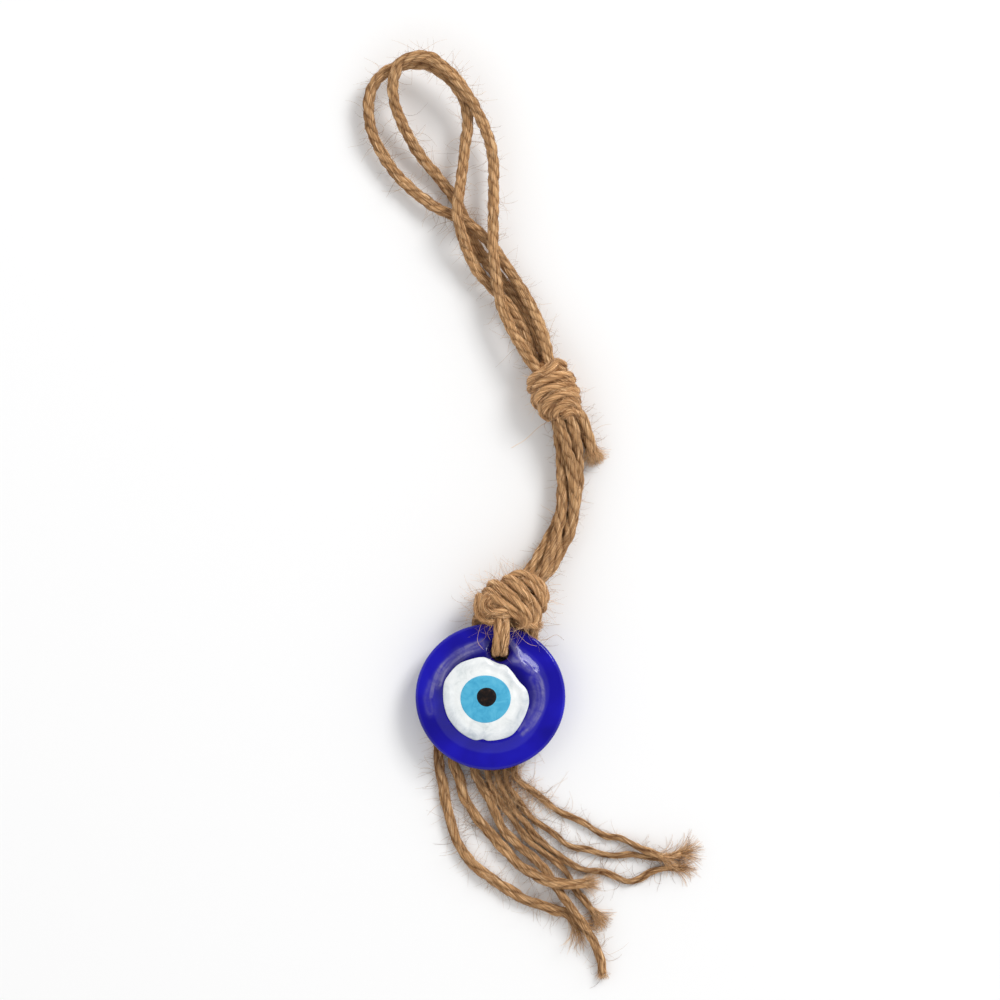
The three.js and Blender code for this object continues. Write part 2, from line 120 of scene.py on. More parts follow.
class Shape:
    """Vertices and faces of one mesh. Each vertex has its depth in the cord, by which the jute is painted
    darker as shade in the grooves, its place in the grain and a tone from dark 0 to light 1: the fibres' own
    tone on a cord, painted shade on the blue disc. On the glass the depth holds the painted reflection and
    the white's thin edge, which is partly painted shade."""

    def __init__(self):
        self.points, self.depth, self.grain, self.tone = [], [], [], []
        self.quads, self.caps = [], []
        self.count = 0

    def rings(self, points, depth, grain, tone):
        """Closed surfaces from rings of points, surfaces x rings x sides x 3, with an end face at both
        ends."""
        self.points.append(points.reshape(-1, 3))
        self.depth.append(np.broadcast_to(depth, points.shape[:3]).reshape(-1))
        self.grain.append(np.broadcast_to(grain, points.shape).reshape(-1, 3))
        self.tone.append(np.broadcast_to(tone, points.shape[:3]).reshape(-1))
        total = math.prod(points.shape[:3])
        index = self.count + np.arange(total).reshape(points.shape[:3])
        after = np.roll(index, -1, axis=2)
        quads = np.stack([index[:, :-1], after[:, :-1], after[:, 1:], index[:, 1:]], axis=-1)
        self.quads.append(quads.reshape(-1, 4))
        self.caps += [index[:, 0, ::-1], index[:, -1]]
        self.count += total

    def tubes(self, lines, radii, sides, depth, grain, tone):
        """A batch of closed tubes. lines is tubes x points x 3; tone is one value for each tube."""
        _, n, b = frames(lines)
        angle = TAU * np.arange(sides) / sides
        points = lines[:, :, None] + radii[..., None, None] * around(angle, n[:, :, None], b[:, :, None])
        self.rings(points, depth, grain, tone[:, None, None])

    def grid(self, points, depth, grain, tone=0.5):
        """One closed surface, rings x sides x 3."""
        self.rings(points[None], depth, grain, tone)

    def object(self, name, material):
        mesh = bpy.data.meshes.new(name)
        points = np.vstack(self.points) * MM
        mesh.vertices.add(len(points))
        mesh.vertices.foreach_set("co", points.ravel())
        faces = [np.vstack(self.quads)] + self.caps
        corners = np.concatenate([f.ravel() for f in faces]).astype(np.int32)
        sizes = np.concatenate([np.full(len(f), f.shape[1]) for f in faces])
        starts = np.concatenate([[0], np.cumsum(sizes)[:-1]]).astype(np.int32)
        mesh.loops.add(len(corners))
        mesh.loops.foreach_set("vertex_index", corners)
        mesh.polygons.add(len(sizes))
        mesh.polygons.foreach_set("loop_start", starts)
        mesh.update(calc_edges=True)
        for key, values in (("depth", self.depth), ("tone", self.tone)):
            mesh.attributes.new(key, "FLOAT", "POINT").data.foreach_set(
                "value", np.concatenate(values).astype(np.float32))
        mesh.attributes.new("grain", "FLOAT_VECTOR", "POINT").data.foreach_set(
            "vector", np.vstack(self.grain).astype(np.float32).ravel())
        mesh.polygons.foreach_set("use_smooth", np.ones(len(sizes), bool))
        mesh.validate()
        obj = bpy.data.objects.new(name, mesh)
        obj.data.materials.append(material)
        bpy.context.scene.collection.objects.link(obj)
        return obj


# ---------------------------------------------------------------- node materials


class Nodes:
    """Short names for building one node material."""

    def __init__(self, name):
        self.material = bpy.data.materials.new(name)
        self.material.use_nodes = True
        self.tree = self.material.node_tree
        self.shader = self.tree.nodes["Principled BSDF"]

    def new(self, kind, inputs=(), **settings):
        node = self.tree.nodes.new(kind)
        for key, value in settings.items():
            setattr(node, key, value)
        for key, value in dict(inputs).items():
            self.put(node.inputs[key], value)
        return node

    def put(self, socket, value):
        if isinstance(value, bpy.types.NodeSocket):
            self.tree.links.new(value, socket)
        else:
            socket.default_value = value

    def attribute(self, name, output):
        return self.new("ShaderNodeAttribute", attribute_name=name).outputs[output]

    def noise(self, vector, scale, detail=2.0, roughness=0.5, distortion=0.0):
        inputs = {"Vector": vector, "Scale": scale, "Detail": detail, "Roughness": roughness,
                  "Distortion": distortion}
        return self.new("ShaderNodeTexNoise", inputs).outputs["Fac"]

    def ramp(self, factor, *stops):
        node = self.new("ShaderNodeValToRGB", {"Fac": factor})
        elements = node.color_ramp.elements
        while len(elements) < len(stops):
            elements.new(0.5)
        for element, (position, color) in zip(elements, stops):
            element.position = position
            element.color = (*color, 1.0)
        return node.outputs["Color"]

    def mix(self, kind, factor, a, b):
        node = self.new("ShaderNodeMix", data_type="RGBA", blend_type=kind)
        self.put(node.inputs["Factor"], factor)
        for socket, color in zip(node.inputs[6:8], (a, b)):
            self.put(socket, color if isinstance(color, bpy.types.NodeSocket) else (*color, 1.0))
        return node.outputs[2]

    def math(self, operation, *values):
        node = self.new("ShaderNodeMath", operation=operation)
        for socket, value in zip(node.inputs, values):
            self.put(socket, value)
        return node.outputs[0]

    def span(self, value, low, high, to_low=0.0, to_high=1.0):
        inputs = {"Value": value, "From Min": low, "From Max": high, "To Min": to_low, "To Max": to_high}
        return self.new("ShaderNodeMapRange", inputs).outputs["Result"]

    def bump(self, height, strength, distance):
        inputs = {"Height": height, "Strength": strength, "Distance": distance}
        return self.new("ShaderNodeBump", inputs).outputs["Normal"]

    def place(self):
        return self.new("ShaderNodeTexCoord").outputs["Object"]

    def set(self, **inputs):
        for key, value in inputs.items():
            self.put(self.shader.inputs[key.replace("_", " ")], value)
        return self.material


def jute_material(name, tint, shade, light=1.0):
    """Jute: streaks along the fibres, painted shade between the plies, and slow changes along the cord."""
    m = Nodes(name)
    grain = m.attribute("grain", "Vector")
    streaks = m.noise(grain, 3.4, 2.0, 0.55)
    drift = m.noise(m.place(), 130.0, 2.0)
    stops = ((0.34, (0.24, 0.108, 0.038)), (0.45, (0.45, 0.245, 0.105)),
             (0.56, (0.64, 0.392, 0.190)), (0.68, (0.86, 0.60, 0.345)))
    color = m.ramp(streaks, *((at, tuple(light * c for c in tone)) for at, tone in stops))
    color = m.mix("MIX", m.span(drift, 0.35, 0.7, 0.0, 0.35), color, tuple(light * c for c in tint))
    # Painted shade: darker in the grooves between the plies, down to the shade factor at the bottom of a
    # groove.
    depth = m.span(m.attribute("depth", "Fac"), 0.0, 1.0, shade, 1.0)
    color = m.mix("MULTIPLY", 1.0, color, m.ramp(depth, (0.0, (0.34, 0.24, 0.16)), (1.0, (1.0, 1.0, 1.0))))
    tone = m.span(m.attribute("tone", "Fac"), 0.0, 1.0)
    color = m.mix("MULTIPLY", 1.0, color, m.ramp(tone, (0.0, (0.52, 0.43, 0.36)), (0.5, (1.0, 1.0, 1.0)),
                                                 (1.0, (1.30, 1.34, 1.38))))
    rough = m.span(streaks, 0.3, 0.7, 0.9, 0.72)
    m.set(Base_Color=color, Roughness=rough, Normal=m.bump(streaks, 0.7, 0.0004))
    m.set(Specular_IOR_Level=0.25, Sheen_Weight=0.1, Sheen_Roughness=0.45)
    return m.material


jute = jute_material("jute", (0.58, 0.335, 0.150), 0.05, 1.07)
# Painted light: the same jute made lighter for the knots, the eye knot's tail and the link.
knot_lit_jute = jute_material("knot_lit_jute", (0.56, 0.325, 0.150), 0.08, 1.24)
# Pale loose fibres for cut ends and the tangle, painted lighter still against the shade they cast on each
# other.
frayed_lit_jute = jute_material("frayed_lit_jute", (0.74, 0.52, 0.31), 1.0, 1.15)
hair_jute = jute_material("hair_jute", (0.50, 0.33, 0.18), 1.0, 0.80)
pale_hair = jute_material("pale_hair", (0.74, 0.58, 0.40), 1.0, 1.25)


# ---------------------------------------------------------------- jute cord


def wander(rng, count, amount, every):
    """A smooth random value along a line of so many steps."""
    knots = rng.normal(0.0, amount, max(4, int(count / every) + 3))
    where = np.linspace(0, len(knots) - 1.001, count)
    low = where.astype(int)
    part = where - low
    part = part * part * (3 - 2 * part)
    return knots[low] * (1 - part) + knots[low + 1] * part


def plies_of(line, diameter, rng, plies=3, pitch=10.0, phase=0.0, spread=0.17, slack=0.10):
    """The centrelines of a cord's plies and the radius of each, in even steps of the cord."""
    count = len(line)
    along = np.arange(count) * STEP
    _, n, b = (f[0] for f in frames(line[None]))
    thick = 0.5 - spread
    lines, radii = [], []
    for k in range(plies):
        turn = TWIST * TAU * along / pitch + TAU * k / plies + phase + wander(rng, count, 0.16, 12)
        out = spread * diameter * (1 + wander(rng, count, slack, 10))
        lines.append(line + out[:, None] * around(turn, n, b))
        radii.append(thick * diameter * (1 + wander(rng, count, 0.05, 9)))
    return np.array(lines), np.array(radii)


def groove(out):
    """How far out of the grooves between the plies a point lies; the jute materials paint shade where it is
    low.
    """
    return np.clip((out - 0.66) / 0.30, 0.0, 1.0)


def twine(shape, line, diameter, rng, cover=30, ends=0.0, plies=3, **look):
    """A cord's plies with raised bundles of fibres on them. Returns its plies, for hairs to grow from."""
    lines, radii = plies_of(line, diameter, rng, plies, **look)
    count = lines.shape[1]
    along = np.arange(count) * STEP
    sides = 16
    angle = TAU * np.arange(sides) / sides
    lay = -TWIST * 0.4
    reach = 0.5 * diameter
    for k in range(len(lines)):
        own = angle[None] - lay * along[:, None]
        ridges = sum(
            size * np.sin(waves * own + rng.uniform(0, TAU) + wander(rng, count, 0.8, 14)[:, None])
            for waves, size in ((2, 0.03), (3, 0.03), (5, 0.035), (7, 0.025))
        )
        radius = radii[k][:, None] * (0.965 + ridges)
        if ends:
            taper = np.clip(np.minimum(along, along[::-1]) / ends, 0.0, 1.0)
            radius = radius * (0.35 + 0.65 * np.sqrt(taper))[:, None]
        _, n, b = (f[0] for f in frames(lines[k][None]))
        points = lines[k][:, None] + radius[..., None] * around(angle, n[:, None], b[:, None])
        points[..., 2] = np.maximum(points[..., 2], SURFACE_Z + 0.02)
        depth = groove(np.linalg.norm(points - line[:, None], axis=2) / reach)
        offset = rng.uniform(0, 60, 3)
        grain = np.stack([
            radii[k].mean() * np.cos(own), radii[k].mean() * np.sin(own),
            np.broadcast_to(0.05 * along[:, None], own.shape),
        ], axis=-1) + offset
        shape.grid(points, depth, grain)
    strands(shape, line, lines, radii, lay, cover, reach, rng)
    return lines, radii


def own_look(rng, along, varied):
    """Each fibre's own place in the grain, and its own tone."""
    grain = np.empty((*along.shape, 3))
    grain[..., :2] = rng.uniform(0, 60, (len(along), 1, 2))
    grain[..., 2] = along
    return grain[:, :, None], np.clip(rng.normal(0.5, varied, len(along)), 0.0, 1.0)


def strands(shape, line, lines, radii, lay, cover, reach, rng):
    """Fine bundles of fibres that lie along the plies, each for a short way."""
    count = lines.shape[1]
    length = count * STEP
    points_each = 14
    step = 0.8
    each = points_each * step
    if count < 8:
        return
    number = max(4, int(len(lines) * cover * (length + each) / each))
    ply = rng.integers(0, len(lines), number)
    start = rng.uniform(-0.6 * each, length - 0.4 * each, number)
    s = start[:, None] + step * np.arange(points_each)[None]
    s = np.clip(s, 0.0, (count - 1.001) * STEP)
    index = s / STEP
    low = index.astype(int)
    part = (index - low)[..., None]

    def along_ply(values):
        chosen = values[ply]
        rows = np.arange(number)[:, None]
        return chosen[rows, low] * (1 - part) + chosen[rows, np.minimum(low + 1, count - 1)] * part

    _, n, b = frames(lines)
    centre, normal, binormal = along_ply(lines), along_ply(n), along_ply(b)
    radius = along_ply(radii[..., None])[..., 0]
    u = np.linspace(-1.0, 1.0, points_each)[None]
    rise = rng.uniform(-0.05, 0.05, number)[:, None] + rng.uniform(0.0, 0.28, number)[:, None] * u**4
    turn = rng.uniform(0, TAU, number)[:, None] + lay * s + rng.normal(0, 0.22, number)[:, None] * u
    path = centre + (radius + rise)[..., None] * around(turn, normal, binormal)
    path[..., 2] = np.maximum(path[..., 2], SURFACE_Z + 0.12)
    moved = np.linalg.norm(np.diff(path, axis=1), axis=2).sum(1) > 2.0
    size = rng.uniform(0.05, 0.115, number)[:, None] * (1.0 - 0.75 * np.abs(u) ** 3)
    middle = (index + 0.5).astype(int).clip(0, count - 1)
    out = np.linalg.norm(path - line[middle], axis=2) / reach
    depth = groove(out)
    grain, tone = own_look(rng, 0.05 * s, 0.27)
    shape.tubes(path[moved], size[moved], 3, depth[moved][..., None], grain[moved], tone[moved])


def grow(rng, roots, directions, lengths, thickness, curl, droop):
    """Paths of loose hairs: each one wanders off from its root and never goes into the surface."""
    number = len(roots)
    points = 9
    floor = SURFACE_Z + 0.05
    step = (lengths / (points - 1))[:, None]
    bend = rng.normal(0, 1, (number, 3)) * curl
    place, heading = roots.copy(), unit(directions)
    path = [place.copy()]
    for _ in range(points - 1):
        bend = bend + rng.normal(0, 0.35, (number, 3)) * curl
        heading = heading + bend * step
        heading[:, 2] -= droop * step[:, 0]
        heading = unit(heading)
        place = place + heading * step
        low = place[:, 2] < floor
        place[low, 2] = floor
        heading[low, 2] = np.abs(heading[low, 2]) * 0.2
        path.append(place.copy())
    fade = np.linspace(1.0, 0.35, points)[None]
    return np.stack(path, axis=1), thickness[:, None] * fade


def add_hairs(shape, rng, paths, sizes):
    """Hairs as thin three-sided tubes, each with its own place in the grain and its own tone."""
    along = np.broadcast_to(np.linspace(0, 0.5, paths.shape[1]), paths.shape[:2])
    shape.tubes(paths, sizes, 3, 1.0, *own_look(rng, along, 0.3))


def fuzz(shape, lines, radii, rng, per_mm, longest, lie=0.74, covered=False):
    """Loose hairs over the length of a cord: many short ones, and a few long ones that curl. Where the
    cord is covered by the disc, they are pressed down under it."""
    count = lines.shape[1]
    number = int(per_mm * count * STEP)
    ply = rng.integers(0, len(lines), number)
    spot = rng.integers(1, count - 1, number)
    t, n, b = frames(lines)
    angle = rng.uniform(0, TAU, number)
    out = around(angle, n[ply, spot], b[ply, spot])
    roots = lines[ply, spot] + radii[ply, spot][:, None] * 0.9 * out
    sign = np.where(rng.random(number) < 0.5, -1.0, 1.0)[:, None]
    directions = out * (1 - lie) + sign * t[ply, spot] * lie + rng.normal(0, 0.2, (number, 3))
    lengths = 0.6 + longest * rng.random(number) ** 4.0
    thickness = rng.uniform(0.026, 0.055, number)
    paths, sizes = grow(rng, roots, directions, lengths, thickness, curl=0.30, droop=0.012)
    if covered:
        under = np.hypot(paths[..., 0], paths[..., 1]) < DISC_RADIUS + 0.5
        paths[..., 2] = np.where(under, np.minimum(paths[..., 2], DISC_BACK_Z - 0.6), paths[..., 2])
    add_hairs(shape, rng, paths, sizes)


def brush(shape, rng, end, heading, width, length, number, spread):
    """The loose fibres of a cut end."""
    heading = unit(np.asarray(heading, float))
    aside = unit(np.cross(heading, [0.0, 0.0, 1.0]))
    up = np.cross(aside, heading)
    radius = 0.5 * width * np.sqrt(rng.random(number))
    angle = rng.uniform(0, TAU, number)
    across = radius[:, None] * around(angle, aside, up)
    back = rng.uniform(0.2, 3.2, number)[:, None]
    roots = np.asarray(end) + across * (1 - 0.16 * back) - heading * back
    directions = heading + across * spread / (0.5 * width) + rng.normal(0, 0.10, (number, 3))
    lengths = 1.0 + back[:, 0] + length * (0.25 + 0.75 * rng.random(number))
    thickness = rng.uniform(0.4, 1.0, number) * 0.075
    add_hairs(shape, rng, *grow(rng, roots, directions, lengths, thickness, curl=0.10, droop=0.03))


# ---------------------------------------------------------------- routes of the cords

LOOP_OUTER = route(
    (12.9, 86.6, 8.0), (10.8, 89.4, 8.0), (7.8, 94.2, 7.4), (5.3, 98.8, 7.0), (3.2, 104.0, 7.0),
    (1.9, 109.2, 7.2), (1.2, 114.2, 7.6), (0.8, 119.4, 7.6), (0.7, 125.2, 7.2), (0.8, 131.0, 6.6),
    (0.9, 137.0, 6.2), (0.8, 142.4, 6.2), (0.0, 147.4, 6.5), (-1.6, 152.0, 7.2), (-3.5, 156.0, 8.4),
    (-5.8, 160.0, 9.6), (-8.5, 163.8, 10.3), (-11.8, 167.4, 10.6), (-15.8, 170.1, 10.8),
    (-20.0, 170.5, 10.6), (-23.8, 168.9, 9.8), (-25.6, 165.4, 8.7), (-26.0, 161.4, 7.6),
    (-25.3, 157.4, 6.6), (-23.8, 153.6, 5.6), (-21.9, 149.7, 4.6), (-19.5, 145.7, 3.8),
    (-16.8, 142.1, 3.0), (-14.0, 138.8, 2.4), (-11.3, 135.6, 1.9), (-8.9, 132.0, 1.6),
    (-6.9, 127.6, 1.45), (-4.9, 122.4, 1.4), (-2.0, 117.4, 1.4), (1.8, 112.8, 1.4), (5.9, 107.8, 1.5),
    (9.2, 102.8, 2.0), (11.7, 98.0, 2.7), (13.3, 93.8, 3.5), (14.7, 90.2, 4.5), (15.9, 87.6, 4.7))
LOOP_INNER = route(
    (12.9, 86.6, 4.7), (11.9, 89.4, 4.6), (10.6, 93.2, 4.0), (9.0, 97.4, 3.6), (6.9, 101.4, 3.6),
    (3.8, 105.8, 3.8), (-0.6, 110.4, 4.1), (-3.7, 114.2, 4.6), (-5.9, 118.6, 5.6), (-7.6, 123.2, 6.8),
    (-8.6, 127.4, 7.5), (-8.7, 131.6, 7.3), (-8.1, 136.0, 6.4), (-7.5, 140.6, 5.7), (-7.0, 145.2, 5.6),
    (-6.4, 149.8, 5.8), (-6.0, 154.2, 6.3), (-6.8, 158.4, 6.7), (-9.0, 162.4, 7.3), (-12.3, 165.8, 7.7),
    (-16.4, 168.2, 7.6), (-20.8, 168.7, 7.1), (-25.3, 168.0, 6.5), (-29.1, 165.9, 5.8),
    (-31.7, 162.4, 5.2), (-32.6, 158.2, 4.6), (-32.3, 153.8, 4.1), (-31.0, 149.3, 3.7),
    (-28.7, 144.6, 3.4), (-25.8, 140.4, 3.2), (-22.4, 136.8, 3.2), (-18.6, 133.5, 3.4),
    (-14.6, 130.7, 3.8), (-10.4, 128.6, 4.2), (-6.0, 126.6, 4.3), (-2.3, 123.4, 4.2), (0.7, 120.0, 4.2),
    (3.5, 116.2, 4.0), (6.4, 111.8, 3.9), (9.3, 107.2, 4.0), (11.9, 102.3, 4.6), (13.8, 97.4, 5.6),
    (14.9, 93.4, 7.0), (15.5, 90.2, 7.9), (16.2, 87.6, 8.0))

BUNDLE_LINE = route(
    (19.0, 75.6, 6.4), (20.3, 70.5, 6.2), (21.1, 65.0, 5.2), (21.3, 60.0, 4.4), (21.2, 55.0, 4.0),
    (20.2, 48.0, 4.0), (18.2, 42.6, 4.3), (15.8, 38.0, 5.0), (13.2, 34.0, 5.8), (11.4, 31.8, 6.1))
BUNDLE_RADIUS = 2.3
BUNDLE_TURNS = 0.45
BUNDLE_POINTS = 13

MIDDLE_TAILS = {
    "middle_knot_tail_upper": route(
        (21.6, 78.4, 6.4), (23.9, 75.4, 5.6), (25.3, 72.0, 4.9), (26.4, 68.6, 4.5), (27.2, 65.2, 4.4)),
    "middle_knot_tail_lower": route(
        (22.2, 77.6, 3.2), (23.6, 74.8, 2.2), (24.9, 71.3, 1.7), (26.4, 67.9, 1.5), (27.8, 64.4, 1.5)),
}
EYE_TAIL = route((6.4, 24.2, 9.4), (8.6, 21.6, 10.0), (10.6, 19.9, 9.9), (12.4, 18.9, 9.6))

# How high the middle of a cord or a single ply is over the surface where it just lies.
TASSEL_LIE = 1.3
PLY_LIE = 0.85
TASSEL_CORDS = {
    "tassel_cord_1": route(
        (-0.8, 24.3, 3.8), (-3.2, 21.2, 2.1), (-3.8, 17.6), (-6.1, 11.0), (-9.2, 4.0), (-11.9, -3.0),
        (-13.7, -9.5), (-14.1, -14.6), (-13.9, -18.7), (-12.9, -23.4), (-11.7, -29.4), (-10.5, -34.2),
        (-9.1, -38.5), (-7.2, -42.0), (-4.0, -45.7), (0.4, -48.9), (4.7, -51.8), (9.1, -54.5),
        (13.5, -56.1), (17.8, -57.4), (20.7, -58.4), (22.8, -60.6), lie=TASSEL_LIE),
    "tassel_cord_2": route(
        (1.8, 23.3, 3.0), (-0.6, 20.6, 1.6), (-1.1, 17.3), (-2.5, 11.5), (-4.6, 5.0), (-6.8, -2.0),
        (-8.7, -8.5), (-9.9, -14.0), (-9.8, -18.0), (-8.4, -22.3), (-6.7, -27.7), (-4.1, -31.8),
        (-1.3, -35.4), (1.6, -38.5), (4.0, -41.3), (6.4, -44.0, 1.4), (9.2, -46.3, 1.9),
        (13.0, -48.3, 3.7), (16.4, -49.6, 4.3), (20.2, -50.1, 3.6), (23.4, -50.2, 2.9),
        (26.0, -50.1, 2.4), lie=TASSEL_LIE),
    "tassel_cord_3": route(
        (6.3, 22.6, 2.8), (6.4, 19.8, 1.6), (6.3, 16.5), (5.9, 10.5), (4.6, 4.0), (2.6, -3.0),
        (0.0, -10.0), (-2.6, -15.5), (-4.3, -19.6), (-2.7, -23.6), (-0.5, -27.2), (1.3, -31.3),
        (3.1, -35.2), (6.2, -38.8), (9.4, -41.6), (12.6, -44.4), (14.9, -47.0), (16.9, -50.2, 1.4),
        (19.4, -53.6, 2.6), (22.0, -57.2, 4.1), (24.8, -61.0, 3.7), (27.6, -65.6, 2.4),
        (29.4, -70.6, 1.5), (30.0, -74.2), lie=TASSEL_LIE),
    "tassel_cord_4": route(
        (8.9, 22.8, 3.2), (9.05, 19.8, 1.8), (9.0, 16.5), (8.6, 10.5), (7.4, 4.0), (5.5, -3.0),
        (3.5, -9.4), lie=TASSEL_LIE),
    "tassel_cord_5": route(
        (11.4, 23.6, 3.8), (11.7, 20.4, 2.2), (11.6, 16.8), (11.3, 10.5), (10.4, 4.0), (8.9, -3.0),
        (7.4, -9.4), lie=TASSEL_LIE),
}
TASSEL_PLIES = {
    "tassel_ply_4a": route(
        (2.4, -10.0), (0.9, -15.0), (-0.6, -19.0), (-0.3, -22.8), (2.4, -28.4), (5.5, -32.3),
        (8.0, -35.9), (10.4, -38.7), (12.9, -40.9), (15.7, -43.0), (18.6, -45.4), (20.9, -48.2),
        (22.6, -51.8), (25.1, -54.6, 0.9), (28.4, -59.0, 0.9), lie=PLY_LIE),
    "tassel_ply_4b": route(
        (4.2, -10.5), (3.0, -15.0), (2.0, -19.0), (2.1, -22.4), (4.0, -27.0), (6.4, -30.6), (9.4, -34.0),
        (11.9, -37.3), (14.6, -39.8), (17.8, -42.2), (21.4, -44.9), (25.1, -46.6), (30.0, -47.1),
        (33.4, -48.4), (36.9, -49.8), (39.9, -49.1), (42.8, -47.2), (46.7, -46.2), (50.2, -46.0),
        lie=PLY_LIE),
    "tassel_ply_5a": route(
        (6.4, -10.0), (5.0, -15.5), (4.2, -19.6), (4.5, -23.4), (6.8, -27.2), (8.8, -30.1),
        (11.5, -33.1), (14.9, -35.5), (17.8, -37.5), (20.0, -39.5), (22.6, -40.7), (25.4, -41.0),
        (28.9, -42.1), (32.7, -42.8), (37.6, -42.6), (42.8, -43.2), (47.0, -43.4), (51.0, -42.2),
        lie=PLY_LIE),
    "tassel_ply_5b": route(
        (8.3, -10.5), (7.0, -15.0), (6.3, -18.6), (6.7, -21.6), (8.6, -23.6), (10.9, -25.2),
        (13.5, -27.2), (15.9, -29.1), (18.8, -31.2), (22.6, -32.8), (25.4, -34.2), (28.2, -36.2),
        (31.4, -37.7), (34.8, -38.1, 0.9), (37.6, -39.4, 1.3), (40.4, -40.9, 2.3), (43.6, -42.0, 2.7),
        (46.2, -43.2, 2.6), lie=PLY_LIE),
}


def run_on(points, length):
    """The same route, longer by the length at both ends, where a knot hides it."""
    first = points[0] + length * unit(points[0] - points[1])
    last = points[-1] + length * unit(points[-1] - points[-2])
    return np.vstack([first, points, last])


def bundle_strand(strand):
    """One of the four strands that are twisted round the bundle's middle line."""
    line = smooth(BUNDLE_LINE, 0.1)
    places = np.linspace(0, len(line) - 1, BUNDLE_POINTS).round().astype(int)
    tangent = unit(np.gradient(line, axis=0))[places]
    side = unit(np.cross(tangent, [0.0, 0.0, 1.0]))
    lift = np.cross(side, tangent)
    angle = TAU * (BUNDLE_TURNS * np.linspace(0, 1, BUNDLE_POINTS) + (strand + 0.5) / 4)
    return line[places] + BUNDLE_RADIUS * around(angle, side, lift)


# ---------------------------------------------------------------- cords as pieces


def finish_piece(obj, body, slot, *nodes, bend=None):
    """Puts a piece on its body, or, given a bend, bakes its place into its mesh and leaves it on no body;
    hides the nodes of model.glb that it stands for. slot: not used.
    """
    if bend:
        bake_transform(obj)
    else:
        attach(obj, body)
    if nodes:
        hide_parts(*nodes)
    return obj


def cord_piece(node, points, diameter, seed, far_end, body="cord", brushes=(), declared=True,
               material=jute, hairs=13.0, longest=8.0, bend=None, covered=False, **look):
    """A cord along its route, and its loose hairs and its frayed ends as pieces on it."""
    rng = np.random.default_rng(seed)
    line = smooth(points)
    shape, loose, frayed = Shape(), Shape(), Shape()
    lines, radii = twine(shape, line, diameter, rng, **look)
    fuzz(loose, lines, radii, rng, hairs, longest, covered=covered)
    for end in brushes:
        brush(frayed, rng, **end)
    cord = finish_piece(shape.object(node + "_fibres", material), body, "jute", node, bend=bend)
    on_cord = [finish_piece(loose.object(node + "_hairs", hair_jute), body, "jute", bend=bend)]
    if brushes:
        on_cord.append(finish_piece(frayed.object(node + "_frayed_end", frayed_lit_jute), body, "jute"))


cord_piece("hanging_loop_cord_outer", LOOP_OUTER, LOOP_DIAMETER, 11, "object", phase=0.4)
cord_piece("hanging_loop_cord_inner", LOOP_INNER, LOOP_DIAMETER, 12, "object", phase=1.7)
for k in range(4):
    cord_piece(f"lower_cord_{k + 1}", run_on(bundle_strand(k), HIDDEN_RUN), LOOP_DIAMETER, 21 + k, "object",
               phase=0.9 * k, pitch=15.0, slack=0.2, longest=6.0)


def ending(points, **settings):
    """Where a cord's brush starts, and which way it points."""
    return dict(end=points[-1], heading=points[-1] - points[-2], **settings)


TASSEL_LOOKS = {
    "tassel_cord_1": dict(diameter=2.75, pitch=26.0, slack=0.25),
    "tassel_cord_2": dict(diameter=2.7, pitch=24.0, slack=0.25),
    "tassel_cord_3": dict(diameter=2.35, pitch=18.0, slack=0.2),
    "tassel_cord_4": dict(diameter=2.4, pitch=24.0, slack=0.25),
    "tassel_cord_5": dict(diameter=2.4, pitch=24.0, slack=0.25),
}
TASSEL_BRUSHES = {
    "tassel_cord_1": dict(width=2.8, length=8.0, number=260, spread=0.18),
    "tassel_cord_2": dict(width=2.6, length=3.4, number=220, spread=0.3),
    "tassel_cord_3": dict(width=2.0, length=1.2, number=120, spread=0.15),
    "tassel_ply_4a": dict(width=2.6, length=4.0, number=220, spread=0.25),
    "tassel_ply_4b": dict(width=1.7, length=5.0, number=130, spread=0.2),
    "tassel_ply_5a": dict(width=2.0, length=6.0, number=170, spread=0.22),
    "tassel_ply_5b": dict(width=1.7, length=5.5, number=150, spread=0.2),
}
for seed, (node, points) in enumerate(TASSEL_CORDS.items(), 31):
    ends = [ending(points, **TASSEL_BRUSHES[node])] if node in TASSEL_BRUSHES else []
    cord_piece(node, points, seed=seed, far_end="bare", brushes=ends, hairs=17.0, covered=True,
               **TASSEL_LOOKS[node])
for seed, (node, points) in enumerate(TASSEL_PLIES.items(), 41):
    ends = [ending(points, **TASSEL_BRUSHES[node])]
    cord_piece(node, run_on(points, PLY_OVERLAP)[:-1], PLY_DIAMETER, seed, "bare", brushes=ends, plies=2,
               pitch=22.0, spread=0.16, slack=0.35, hairs=11.0, cover=26, covered=True)


def tangle(seed):
    """Fine curly fibres among the plies where the slack cords come apart."""
    rng = np.random.default_rng(seed)
    loose = Shape()
    for points in TASSEL_PLIES.values():
        line = smooth(points)[:TANGLE_STEPS]
        fuzz(loose, line[None], np.full((1, len(line)), 0.8), rng, per_mm=16.0, longest=12.0, lie=0.5,
             covered=True)
    return finish_piece(loose.object("tassel_tangle", frayed_lit_jute), "cord", "jute")


tangle(48)
for seed, (node, points) in enumerate(MIDDLE_TAILS.items(), 51):
    ends = [ending(points, width=3.2, length=2.2, number=330, spread=0.45)]
    cord_piece(node, points, TAIL_DIAMETER, seed, "bare", brushes=ends, declared=False, pitch=20.0)
cord_piece("eye_knot_tail", EYE_TAIL, EYE_TAIL_DIAMETER, 55, "bare", declared=False, pitch=20.0,
           material=knot_lit_jute, brushes=[ending(EYE_TAIL, width=2.4, length=0.8, number=150, spread=0.2)])


# ---------------------------------------------------------------- the link through the disc


def link_strand(side):
    profile = [
        (23.0, 2.6), (21.8, 3.5), (20.2, 4.0), (17.4, 3.95), (14.9, 3.8), (12.9, 3.0), (11.9, 1.4),
        (11.7, -0.6), (11.9, -2.6), (12.8, -4.2), (15.0, -4.75), (17.5, -4.85), (19.8, -4.6),
        (22.0, -3.9), (24.0, -2.6),
    ]
    return np.array([(HOLE[0] + 0.08 * (y - HOLE[1]) + side, y, z) for y, z in profile])
